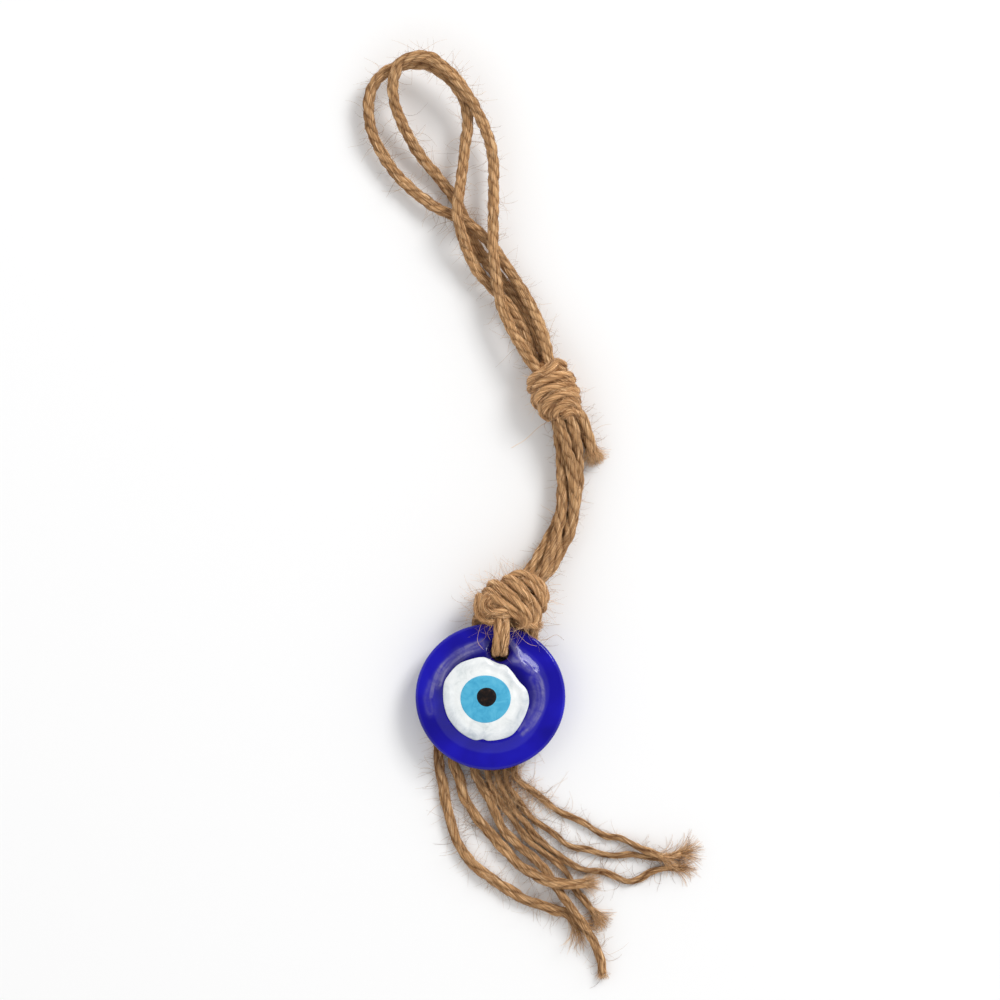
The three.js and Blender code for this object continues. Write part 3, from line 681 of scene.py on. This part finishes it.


# The link's strands are baked in place, on no body; the bend's bodies and points are not read.
LINK_BEND = ("link", "cord", (0.0, 0.0116, -0.0087), (0.0, 0.0146, -0.01095))
for side, node, seed in ((-1.0, "link_cord_left", 61), (1.0, "link_cord_right", 62)):
    cord_piece(node, link_strand(side), LINK_DIAMETER, seed, "object", body="link", declared=False,
               material=knot_lit_jute, bend=LINK_BEND, hairs=9.0, longest=7.0, pitch=22.0, cover=34)


# ---------------------------------------------------------------- knots


class Knot:
    """Turns of cord round a middle line in the surface's plane. A place is an angle round that line,
    90 degrees on top, and a distance along it."""

    def __init__(self, x, y, height, angle, along, across, up):
        self.centre = np.array([x, y, SURFACE_Z + height])
        turn = math.radians(angle)
        self.axis = np.array([math.cos(turn), math.sin(turn), 0.0])
        self.side = np.array([-math.sin(turn), math.cos(turn), 0.0])
        self.size = (along, across, up)

    def place(self, degrees, u, layer=0.0):
        along, across, up = self.size
        waist = math.sqrt(max(0.06, 1 - (u / along) ** 2))
        a = math.radians(degrees)
        return (self.centre + self.axis * u + self.side * (across * waist + layer) * math.cos(a)
                + np.array([0, 0, (up * waist + layer) * math.sin(a)]))

    def wrap(self, *places):
        return smooth([self.place(*p) for p in places])

    def core(self, shape, scale):
        """The knot's inside, drawn at the darkest groove shade: painted shade that shows between the turns.
        """
        along, across, up = (scale * s for s in self.size)
        t = np.linspace(0.04, math.pi - 0.04, 18)[:, None]
        angle = (TAU * np.arange(24) / 24)[None]
        points = (self.centre - self.axis * (along * np.cos(t)[..., None])
                  + self.side * (across * np.sin(t) * np.cos(angle))[..., None]
                  + np.array([0, 0, 1.0]) * (up * np.sin(t) * np.sin(angle))[..., None])
        shape.grid(points, 0.0, points * 0.4)


def knot_piece(node, knot, turns, seed, diameter, core_scale, hairs=13.0, longest=6.0, stray=()):
    """Turns of slack cord, pressed together over the knot's inside, which is painted dark as shade."""
    rng = np.random.default_rng(seed)
    under, over, loose = Shape(), Shape(), Shape()
    knot.core(under, core_scale)
    for k, line in enumerate(turns):
        shape = over if k % 2 else under
        lines, radii = twine(shape, line, diameter, rng, phase=rng.uniform(0, TAU), cover=36, pitch=30.0,
                             ends=1.0, spread=0.19)
        fuzz(loose, lines, radii, rng, hairs, longest)
    for points in stray:
        path = smooth(points, 0.8)
        add_hairs(loose, rng, path[None], np.linspace(0.075, 0.04, len(path))[None])
    finish_piece(under.object(node + "_turns", knot_lit_jute), "cord", "jute", node)
    finish_piece(over.object(node + "_more_turns", knot_lit_jute), "cord", "jute")
    finish_piece(loose.object(node + "_hairs", pale_hair), "cord", "jute")


MIDDLE_KNOT = Knot(16.9, 81.8, 6.5, -68, 9.0, 5.3, 4.5)
MIDDLE_WRAPS = [
    [(250, -4.4), (205, -4.0), (150, -4.6), (105, -4.9), (70, -5.7), (40, -6.4), (8, -4.8), (-40, -4.4),
     (-105, -4.4)],
    [(235, -1.4), (185, -2.2), (130, -3.4), (85, -3.3), (45, -2.4), (10, -1.4), (-40, -1.2), (-120, -1.4)],
    [(225, 3.4), (185, 1.4), (150, -0.2), (118, -0.9), (88, -0.5), (50, 0.7), (15, 1.9), (-40, 2.2),
     (-130, 3.0)],
    [(215, 6.2), (180, 5.0), (155, 3.6), (125, 2.2), (92, 1.7), (55, 2.6), (20, 4.2), (-40, 5.0),
     (-140, 6.0)],
    [(140, 6.8, -0.4), (118, 5.2), (92, 4.2), (62, 4.6), (28, 6.2), (-15, 7.2), (-70, 7.4), (-140, 7.4)],
    [(100, 7.0, -0.2), (72, 6.4, 0.1), (42, 7.2), (10, 7.9), (-40, 8.0)],
]
MIDDLE_STRAY = [
    route((5.6, 66.4, 7.6), (9.2, 68.5, 9.4), (13.4, 72.2, 11.4), (17.8, 74.2, 12.0), (22.6, 74.3, 10.6)),
    route((12.6, 86.4, 11.2), (15.4, 85.0, 12.6), (18.8, 84.6, 12.7), (21.6, 82.6, 11.4)),
    route((20.2, 87.8, 10.0), (22.2, 84.4, 11.2), (23.0, 80.6, 10.8), (24.4, 77.0, 8.4)),
]
knot_piece("middle_knot", MIDDLE_KNOT, [MIDDLE_KNOT.wrap(*places) for places in MIDDLE_WRAPS],
           seed=71, diameter=3.2, core_scale=0.95, stray=MIDDLE_STRAY)

EYE_KNOT = Knot(5.4, 26.8, 6.4, 28, 8.0, 4.9, 4.5)
EYE_TURNS = [
    # the two turns next to the bundle
    route((7.6, 29.2, 2.6), (6.0, 31.0, 4.4), (6.2, 32.2, 7.4), (8.8, 32.4, 9.9), (11.5, 30.2, 10.8),
          (13.3, 27.2, 10.4), (13.7, 24.4, 8.6), (12.8, 23.4, 5.4), (10.4, 24.8, 2.8)),
    route((9.4, 30.2, 3.4), (9.6, 32.2, 5.4), (11.6, 31.6, 8.2), (13.6, 29.0, 8.2), (14.2, 26.4, 6.8),
          (13.0, 25.2, 4.2), (11.2, 26.4, 2.8)),
    route((6.4, 28.2, 2.6), (4.3, 29.8, 4.6), (4.4, 31.1, 7.8), (6.2, 30.6, 10.6), (8.7, 28.0, 11.9),
          (11.0, 25.0, 11.6), (12.2, 22.2, 10.2), (11.9, 20.2, 9.7), (10.2, 20.9, 9.4)),
    # the turns over the middle, which reach down over the disc's rim
    route((2.2, 27.6, 3.0), (0.6, 28.9, 5.2), (0.9, 29.7, 8.2), (2.7, 29.1, 10.6), (5.3, 26.9, 12.0),
          (8.1, 23.9, 11.9), (9.9, 21.2, 10.6), (9.8, 19.4, 9.8), (7.8, 20.8, 9.6)),
    route((0.8, 26.0, 3.2), (-1.1, 27.2, 5.6), (-0.8, 27.9, 8.4), (0.6, 27.2, 10.4), (2.9, 25.2, 11.7),
          (5.6, 23.3, 11.9), (7.8, 21.5, 10.9), (8.3, 19.7, 9.9), (7.0, 19.7, 9.7)),
    # the left end, where the turns curl round
    route((0.4, 24.2, 2.4), (-1.8, 25.6, 3.4), (-2.8, 26.2, 6.2), (-2.6, 26.0, 9.0), (-2.9, 24.2, 9.9),
          (-2.5, 22.2, 10.0), (-1.0, 21.0, 9.9), (0.8, 20.7, 9.7), (0.2, 22.6, 7.6)),
    route((2.0, 28.0, 9.2), (-0.2, 26.8, 10.4), (-1.3, 25.0, 11.0), (-0.7, 23.4, 11.2), (1.2, 22.7, 11.4),
          (3.4, 22.7, 11.6), (6.2, 22.9, 11.0)),
    route((3.2, 26.4, 10.6), (1.4, 25.8, 10.6), (0.6, 24.8, 10.4), (1.6, 24.2, 10.5), (4.2, 24.0, 10.8)),
    # the lower left, down to the disc's rim
    route((0.6, 25.0, 6.0), (-1.8, 24.4, 6.8), (-2.7, 22.9, 6.0), (-1.9, 22.0, 4.8), (0.4, 22.8, 4.2)),
    # the underside
    route((10.0, 28.2, 4.0), (8.8, 25.8, 2.3), (6.4, 24.8, 2.2), (3.6, 25.2, 2.6), (1.2, 26.4, 2.4),
          (0.8, 28.2, 3.6)),
    route((9.6, 30.6, 5.6), (7.6, 28.6, 2.9), (4.8, 27.2, 2.2), (2.4, 27.6, 2.8), (2.2, 29.8, 4.6)),
]
EYE_STRAY = [
    route((-1.8, 21.0, 10.4), (-3.0, 17.8, 10.6), (-3.4, 14.8, 10.0), (-1.8, 12.6, 9.2)),
    route((8.4, 19.4, 11.2), (10.8, 16.4, 10.4), (14.2, 15.2, 9.8), (17.6, 16.6, 8.6), (19.6, 15.2, 8.4)),
    route((5.4, 19.8, 11.4), (7.2, 17.0, 10.6), (10.2, 14.2, 10.0), (12.4, 13.6, 9.6)),
    route((-0.4, 20.8, 10.8), (-1.6, 18.6, 11.0), (-1.2, 16.2, 10.2), (-3.8, 13.8, 9.6)),
    route((0.6, 21.0, 10.8), (0.2, 18.8, 11.6), (-0.8, 17.2, 11.0), (0.0, 15.2, 10.0)),
    route((6.6, 20.2, 11.4), (9.0, 18.2, 10.6), (11.4, 15.6, 9.8), (13.2, 15.8, 9.2)),
]
knot_piece("eye_knot", EYE_KNOT, [smooth(points) for points in EYE_TURNS], seed=81, diameter=3.05,
           core_scale=0.95, hairs=15.0, longest=9.0, stray=EYE_STRAY)


# ---------------------------------------------------------------- glass eye

DISC_OVAL = 0.975
DISC_BAND_Z = 1.2
MOUND_RISE = 1.15
RIM_ROUND = 0.9
WHITE_CENTRE = (-1.1, -0.5)
IRIS_CENTRE = (-1.3, -0.5)
PUPIL_CENTRE = (-1.0, 0.0)
WHITE_OUTLINE = [
    (-12.6, 0.5), (-12.2, 4.1), (-10.6, 6.6), (-8.5, 8.7), (-5.7, 9.9), (-1.8, 10.6), (0.4, 9.7),
    (2.2, 8.9), (4.1, 8.4), (5.9, 6.6), (7.7, 4.1), (9.6, 2.0), (10.3, -1.1), (9.6, -4.1), (7.7, -7.8),
    (5.6, -10.2), (2.5, -11.3), (-0.9, -11.6), (-1.9, -11.2), (-3.9, -11.5), (-7.0, -10.1), (-9.4, -8.1),
    (-11.3, -5.4), (-12.3, -2.3),
]
# Painted reflection: lavender streaks on the mound's slopes round the white, which also raise the glass a
# little: points, half width, strength.
REFLECTION_STREAKS = [
    ([(-15.8, 0.2), (-14.8, 4.6), (-13.0, 8.2), (-9.7, 11.4), (-5.6, 13.6), (-2.2, 15.1)], 0.50, 0.95),
    ([(-13.4, 3.0), (-12.2, 6.4), (-9.6, 9.6), (-6.2, 11.7), (-3.0, 12.7)], 0.45, 0.85),
    ([(-14.4, 3.6), (-12.4, 7.4), (-9.4, 10.6), (-5.6, 12.7), (-2.4, 13.9)], 1.50, 0.55),
    ([(-16.0, -4.0), (-16.6, 0.0), (-15.6, 3.6)], 1.30, 0.30),
    ([(5.2, 15.0), (6.8, 12.6), (8.0, 9.8), (9.8, 7.6), (12.2, 6.2)], 0.70, 0.95),
    ([(6.4, 9.8), (8.4, 9.2), (10.6, 7.6)], 1.10, 0.75),
    ([(12.2, 6.2), (13.6, 3.6), (14.1, 0.2), (13.5, -3.4), (11.4, -7.0), (8.6, -9.8)], 0.65, 0.75),
    ([(11.6, 4.6), (12.5, 1.0), (12.1, -3.2), (10.0, -6.8)], 1.60, 0.42),
    ([(10.4, -3.4), (9.6, -6.0), (7.6, -8.6)], 0.50, 0.50),
]


def line_distance(x, y, points):
    """Distance from each place to a line through the points."""
    line = smooth([(a, b, 0.0) for a, b in points], 0.3)[:, :2]
    gap = np.hypot(x[..., None] - line[:, 0], y[..., None] - line[:, 1])
    return gap.min(axis=-1)


def soft_step(value):
    value = np.clip(value, 0.0, 1.0)
    return value * value * (3 - 2 * value)


def reflection_strength(x, y):
    """How strong the painted reflection is at each place on the blue glass."""
    total = np.zeros_like(x)
    for points, width, strength in REFLECTION_STREAKS:
        gap = line_distance(x, y, points)
        wisps = 0.72 + 0.28 * np.sin(5.0 * gap + 0.9 * x + 0.7 * np.sin(0.8 * y))
        total = np.maximum(total, strength * wisps * np.exp(-(gap / width) ** 3))
    return total


def disc_height(x, y):
    """The disc's face: a flat outer band, a mound with a wandering foot, and a funnel at the hole."""
    angle = np.arctan2(y, x)
    r = np.hypot(x, y / DISC_OVAL)
    foot = 16.2 + 0.45 * np.sin(2 * angle + 0.6) + 0.3 * np.sin(3 * angle - 1.1) + 0.2 * np.sin(5 * angle)
    shoulder = 11.8 + 0.4 * np.sin(2 * angle - 0.5) + 0.3 * np.sin(4 * angle)
    z = DISC_BAND_Z + MOUND_RISE * soft_step((foot - r) / (foot - shoulder))
    # The glass is raised a little along the painted reflection streaks.
    z = z + 0.05 * np.sin(0.55 * x + 1.0) * np.cos(0.45 * y) + 0.22 * reflection_strength(x, y)
    gap = np.hypot(x - HOLE[0], y - HOLE[1]) - HOLE_RADIUS
    z = z - 0.85 * np.exp(-np.maximum(gap, 0.0) / 0.7)
    edge = np.clip((DISC_RADIUS - r) / RIM_ROUND, 0.0, 1.0)
    return z - RIM_ROUND * (1 - np.sqrt(1 - (1 - edge) ** 2))


def tilted(points):
    """The disc lies with its lower edge a little raised."""
    x, y, z = np.moveaxis(points, -1, 0)
    c, s = math.cos(DISC_TILT), math.sin(DISC_TILT)
    return np.stack([x, y * c + z * s, z * c - y * s], axis=-1)


def painted_blue_shade(x, y):
    """How light the blue is: painted shade, darker in the hollow beside the white, more so on its upper side,
    and in the funnel at the hole.
    """
    away = np.stack([x, y], axis=-1) - WHITE_CENTRE
    edge = outline_radius(WHITE_OUTLINE, WHITE_CENTRE, np.arctan2(away[..., 1], away[..., 0]))
    white_gap = np.maximum(np.hypot(away[..., 0], away[..., 1]) - edge, 0.0)
    hole_gap = np.maximum(np.hypot(x - HOLE[0], y - HOLE[1]) - HOLE_RADIUS, 0.0)
    upper = soft_step((y + 8.0) / 14.0)
    return 1.0 - np.maximum((0.25 + 0.6 * upper) * np.exp(-(white_gap / 2.4) ** 2),
                            0.8 * np.exp(-(hole_gap / 2.2) ** 2))


def on_oval(radii, angle):
    return radii * np.cos(angle), DISC_OVAL * radii * np.sin(angle)


def disc_shape():
    sides = 200
    angle = (TAU * np.arange(sides) / sides)[None]
    radii = np.concatenate([np.linspace(0.3, 19.0, 96), DISC_RADIUS - RIM_ROUND * (1 - np.sin(
        np.linspace(0.12, math.pi / 2, 9)))])[:, None]
    x, y = on_oval(radii, angle)
    top = np.stack([x, y, disc_height(x, y)], axis=-1)
    low = np.linspace(0.0, math.pi / 2, 7)[:, None]
    x, y = on_oval(DISC_RADIUS - RIM_ROUND * (1 - np.cos(low)), angle)
    wave = 0.05 * np.sin(3 * angle + 0.5) + 0.04 * np.sin(7 * angle)
    side = np.stack([x + wave * np.cos(angle), y + wave * np.sin(angle),
                     DISC_BACK_Z + RIM_ROUND * (1 - np.sin(low)) + 0 * angle], axis=-1)
    x, y = on_oval(np.linspace(18.6, 0.3, 24)[:, None], angle)
    back = np.stack([x, y, DISC_BACK_Z + 0.04 * np.sin(0.5 * x) * np.cos(0.6 * y)], axis=-1)
    points = np.concatenate([top, side, back])[::-1]
    shape = Shape()
    face = points[..., 2] > 0.0
    # The face carries the painted reflection streaks and the painted shade of the blue.
    painted_reflection = np.where(face, reflection_strength(points[..., 0], points[..., 1]), 0.0)
    light = np.where(face, painted_blue_shade(points[..., 0], points[..., 1]), 1.0)
    shape.grid(tilted(points), painted_reflection, points, light)
    return shape


def outline_radius(outline, centre, angle):
    """A closed outline as a distance from its centre for each angle."""
    line = smooth([(x, y, 0.0) for x, y in outline[-3:] + outline + outline[:3]], 0.1)
    away = line[:, :2] - centre
    turn = np.arctan2(away[:, 1], away[:, 0])
    order = np.argsort(turn)
    return np.interp(angle, turn[order], np.hypot(*away.T)[order], period=TAU)


def drop(centre, radius, top, depth, rings=40, sharp=6.0, sides=160):
    """A drop of glass fused to what is below it. radius is by angle, top gives its height by place."""
    angle = (TAU * np.arange(sides) / sides)[None]
    rho = np.sin(np.linspace(0.02, math.pi / 2, rings))[:, None]
    reach = radius(angle)
    x, y = centre[0] + rho * reach * np.cos(angle), centre[1] + rho * reach * np.sin(angle)
    rise = np.sqrt(np.maximum(0.0, 1 - rho**sharp))
    upper = np.stack([x, y, top(x, y, rise, rho)], axis=-1)
    lower = upper[-1:].copy()
    lower[..., 2] -= depth
    inner = lower.copy()
    inner[..., :2] = centre + 0.3 * (inner[..., :2] - centre)
    points = np.concatenate([upper, lower, inner])[::-1]
    # The white's edge: thinner glass with the blue showing through, and painted shade heavier on the lower
    # side.
    thin_edge_and_shade = soft_step((rho - 0.66) / 0.34) * (0.6 - 0.35 * np.sin(angle - 0.3))
    shape = Shape()
    shape.grid(tilted(points), np.concatenate([thin_edge_and_shade, thin_edge_and_shade[-1:], thin_edge_and_shade[-1:]])[::-1], points)
    return shape


def white_relief(x, y, rho):
    """Ripples of the poured white outside the iris: low waves, and a ridge near its edge."""
    outside = soft_step((rho - 0.60) / 0.15)
    waves = 0.07 * np.sin(0.9 * x + 0.6 * y) * np.cos(0.7 * y - 0.4 * x) + 0.06 * np.sin(1.7 * x - 1.1 * y)
    ridge = 0.14 * np.exp(-((rho - 0.88) / 0.06) ** 2) - 0.12 * np.exp(-((rho - 0.73) / 0.08) ** 2)
    return outside * (waves + ridge)


def white_top(x, y, rise, rho):
    return disc_height(x, y) + 0.06 + 0.62 * rise + white_relief(x, y, rho) * rise


def middle_height(x, y):
    """The white's face under the iris."""
    return DISC_BAND_Z + MOUND_RISE + 0.70 + 0.05 * np.sin(0.55 * x + 1.0) * np.cos(0.45 * y)


def iris_radius(angle):
    return 6.5 + 0.2 * np.cos(2 * angle) + 0.07 * np.sin(3 * angle + 0.4)


def pupil_radius(angle):
    return 2.76 + 0.05 * np.cos(2 * angle) + 0.04 * np.sin(3 * angle)


def glass_material(name, color_of, roughness, bump_scale, bump_height, level=0.5):
    """Cast glass: a colour with slow changes, and a faint waviness."""
    m = Nodes(name)
    wave = m.noise(m.place(), bump_scale, 2.0)
    m.set(Base_Color=color_of(m), Roughness=roughness, Specular_IOR_Level=level,
          Normal=m.bump(wave, 0.35, bump_height))
    return m.material


def blue_color(m):
    slow = m.noise(m.place(), 70.0, 2.0, 0.5, 0.8)
    color = m.ramp(slow, (0.30, (0.009, 0.006, 0.24)), (0.52, (0.012, 0.008, 0.36)),
                   (0.75, (0.015, 0.013, 0.46)))
    # Painted shade: darker in the hollow beside the white and in the hole's funnel.
    color = m.mix("MULTIPLY", 1.0, color, m.ramp(m.attribute("tone", "Fac"), (0.0, (0.5, 0.45, 0.30)),
                                                 (1.0, (1.0, 1.0, 1.0))))
    # Painted reflection: lavender streaks that stand for reflections on the mound's slopes, broken up by
    # cloudy noise.
    cloud = m.noise(m.place(), 420.0, 3.0, 0.6, 1.2)
    painted_reflection = m.math("MULTIPLY", m.attribute("depth", "Fac"), m.span(cloud, 0.35, 0.6, 0.5, 1.0))
    return m.mix("MIX", painted_reflection, color, (0.21, 0.195, 0.38))


def white_color(m):
    blotch = m.noise(m.place(), 260.0, 4.0, 0.65, 0.7)
    color = m.ramp(blotch, (0.28, (0.62, 0.67, 0.67)), (0.45, (0.81, 0.84, 0.84)),
                   (0.7, (0.90, 0.915, 0.91)))
    # Thin edge: bluer grey where the white glass is thin, with painted shade heavier on the lower side.
    thin_edge_and_shade = m.math("MULTIPLY", m.attribute("depth", "Fac"), m.span(blotch, 0.3, 0.65, 1.0, 0.35))
    return m.mix("MIX", thin_edge_and_shade, color, (0.42, 0.47, 0.55))


def iris_color(m):
    slow = m.noise(m.place(), 300.0, 3.0, 0.6, 1.5)
    return m.ramp(slow, (0.28, (0.05, 0.33, 0.55)), (0.5, (0.08, 0.42, 0.64)), (0.75, (0.12, 0.49, 0.70)))


def pupil_color(m):
    speck = m.noise(m.place(), 900.0, 3.0, 0.7)
    return m.ramp(speck, (0.45, (0.006, 0.005, 0.006)), (0.62, (0.022, 0.012, 0.009)),
                  (0.8, (0.10, 0.05, 0.03)))


def glass_pieces():
    disc = disc_shape().object("blue_glass", glass_material("cobalt", blue_color, 0.1, 150.0, 0.0004, 0.28))
    bpy.ops.mesh.primitive_cylinder_add(
        radius=HOLE_RADIUS * MM, depth=20 * MM, vertices=64, location=(HOLE[0] * MM, HOLE[1] * MM, 0.0))
    drill = bpy.context.object
    cut = disc.modifiers.new("hole", "BOOLEAN")
    cut.operation, cut.solver, cut.object = "DIFFERENCE", "EXACT", drill
    bpy.context.view_layer.update()
    with_hole = bpy.data.meshes.new_from_object(disc.evaluated_get(bpy.context.evaluated_depsgraph_get()))
    disc.modifiers.clear()
    disc.data = with_hole
    bpy.data.objects.remove(drill)
    with_hole.polygons.foreach_set("use_smooth", np.ones(len(with_hole.polygons), bool))
    finish_piece(disc, "eye", "cobalt_glass", "blue_glass_disc")

    white = drop(WHITE_CENTRE, lambda angle: outline_radius(WHITE_OUTLINE, WHITE_CENTRE, angle), white_top,
                 depth=0.35, rings=60)
    iris = drop(IRIS_CENTRE, iris_radius, lambda x, y, rise, rho: middle_height(x, y) + 0.14 * rise,
                depth=0.3)
    pupil = drop(PUPIL_CENTRE, pupil_radius, lambda x, y, rise, rho: middle_height(x, y) + 0.02 + 0.24 * rise,
                 depth=0.3, sharp=4.0, sides=96)
    for shape, name, material, slot, node in (
        (white, "white_glass", glass_material("opal", white_color, 0.22, 700.0, 0.0003), "white_glass",
         "white_glass_layer"),
        (iris, "iris_glass", glass_material("sky", iris_color, 0.28, 900.0, 0.0002, 0.35), "sky_glass",
         "light_blue_iris"),
        (pupil, "pupil_glass", glass_material("dark", pupil_color, 0.3, 1200.0, 0.0002, 0.3), "dark_glass",
         "dark_pupil"),
    ):
        finish_piece(shape.object(name, material), "eye", slot, node)


glass_pieces()


# ---------------------------------------------------------------- surface, light and camera


def plain_floor():
    mesh = bpy.data.meshes.new("floor")
    size = 3.0
    z = (SURFACE_Z - 0.02) * MM
    corners = [(-size, -size, z), (size, -size, z), (size, size, z), (-size, size, z)]
    mesh.from_pydata(corners, [], [(0, 1, 2, 3)])
    floor = bpy.data.objects.new("floor", mesh)
    m = Nodes("pale_floor")
    floor.data.materials.append(m.set(Base_Color=(0.93, 0.93, 0.93, 1.0), Roughness=0.9,
                                      Specular_IOR_Level=0.1))
    bpy.context.scene.collection.objects.link(floor)


def softbox(name, place, target, size, power):
    data = bpy.data.lights.new(name, "AREA")
    data.shape = "RECTANGLE"
    data.size, data.size_y = size
    data.energy = power
    lamp = bpy.data.objects.new(name, data)
    lamp.location = place
    lamp.rotation_mode = "QUATERNION"
    lamp.rotation_quaternion = (Vector(target) - Vector(place)).to_track_quat("-Z", "Y")
    bpy.context.scene.collection.objects.link(lamp)


plain_floor()
# The lamp's distance and size are in metres, its power in watts.
KEY_DISTANCE = 2.2
KEY_SIZE = 0.8
KEY_POWER = 26.5
key_direction = Vector((1.0, 1.0, 1.25)).normalized()
aim = Vector((0.0, 0.05, 0.0))
softbox("key_light", aim + KEY_DISTANCE * key_direction, aim, (KEY_SIZE, KEY_SIZE), KEY_POWER)

world = bpy.data.worlds.new("studio")
world.use_nodes = True
sky = world.node_tree
height = sky.nodes.new("ShaderNodeSeparateXYZ")
sky.links.new(sky.nodes.new("ShaderNodeTexCoord").outputs["Generated"], height.inputs["Vector"])
tone = sky.nodes.new("ShaderNodeMapRange")
tone.interpolation_type = "SMOOTHSTEP"
for socket, value in (("From Min", 0.86), ("From Max", 0.97), ("To Min", 0.86), ("To Max", 0.14)):
    tone.inputs[socket].default_value = value
sky.links.new(height.outputs["Z"], tone.inputs["Value"])
sky.links.new(tone.outputs["Result"], sky.nodes["Background"].inputs["Strength"])
sky.nodes["Background"].inputs["Color"].default_value = (1.0, 1.0, 1.0, 1.0)
bpy.context.scene.world = world
bpy.context.scene.view_settings.view_transform = "Standard"

VIEW_CENTRE = (2.56, 52.5)
VIEW_WIDTH = 266.7
CAMERA_DISTANCE = 1300.0
camera = bpy.data.objects.new("camera", bpy.data.cameras.new("camera"))
camera.location = (VIEW_CENTRE[0] * MM, VIEW_CENTRE[1] * MM, CAMERA_DISTANCE * MM)
camera.data.sensor_width = 36.0
camera.data.lens = 36.0 * CAMERA_DISTANCE / VIEW_WIDTH
camera.data.clip_end = 20.0
bpy.context.scene.collection.objects.link(camera)
bpy.context.scene.camera = camera
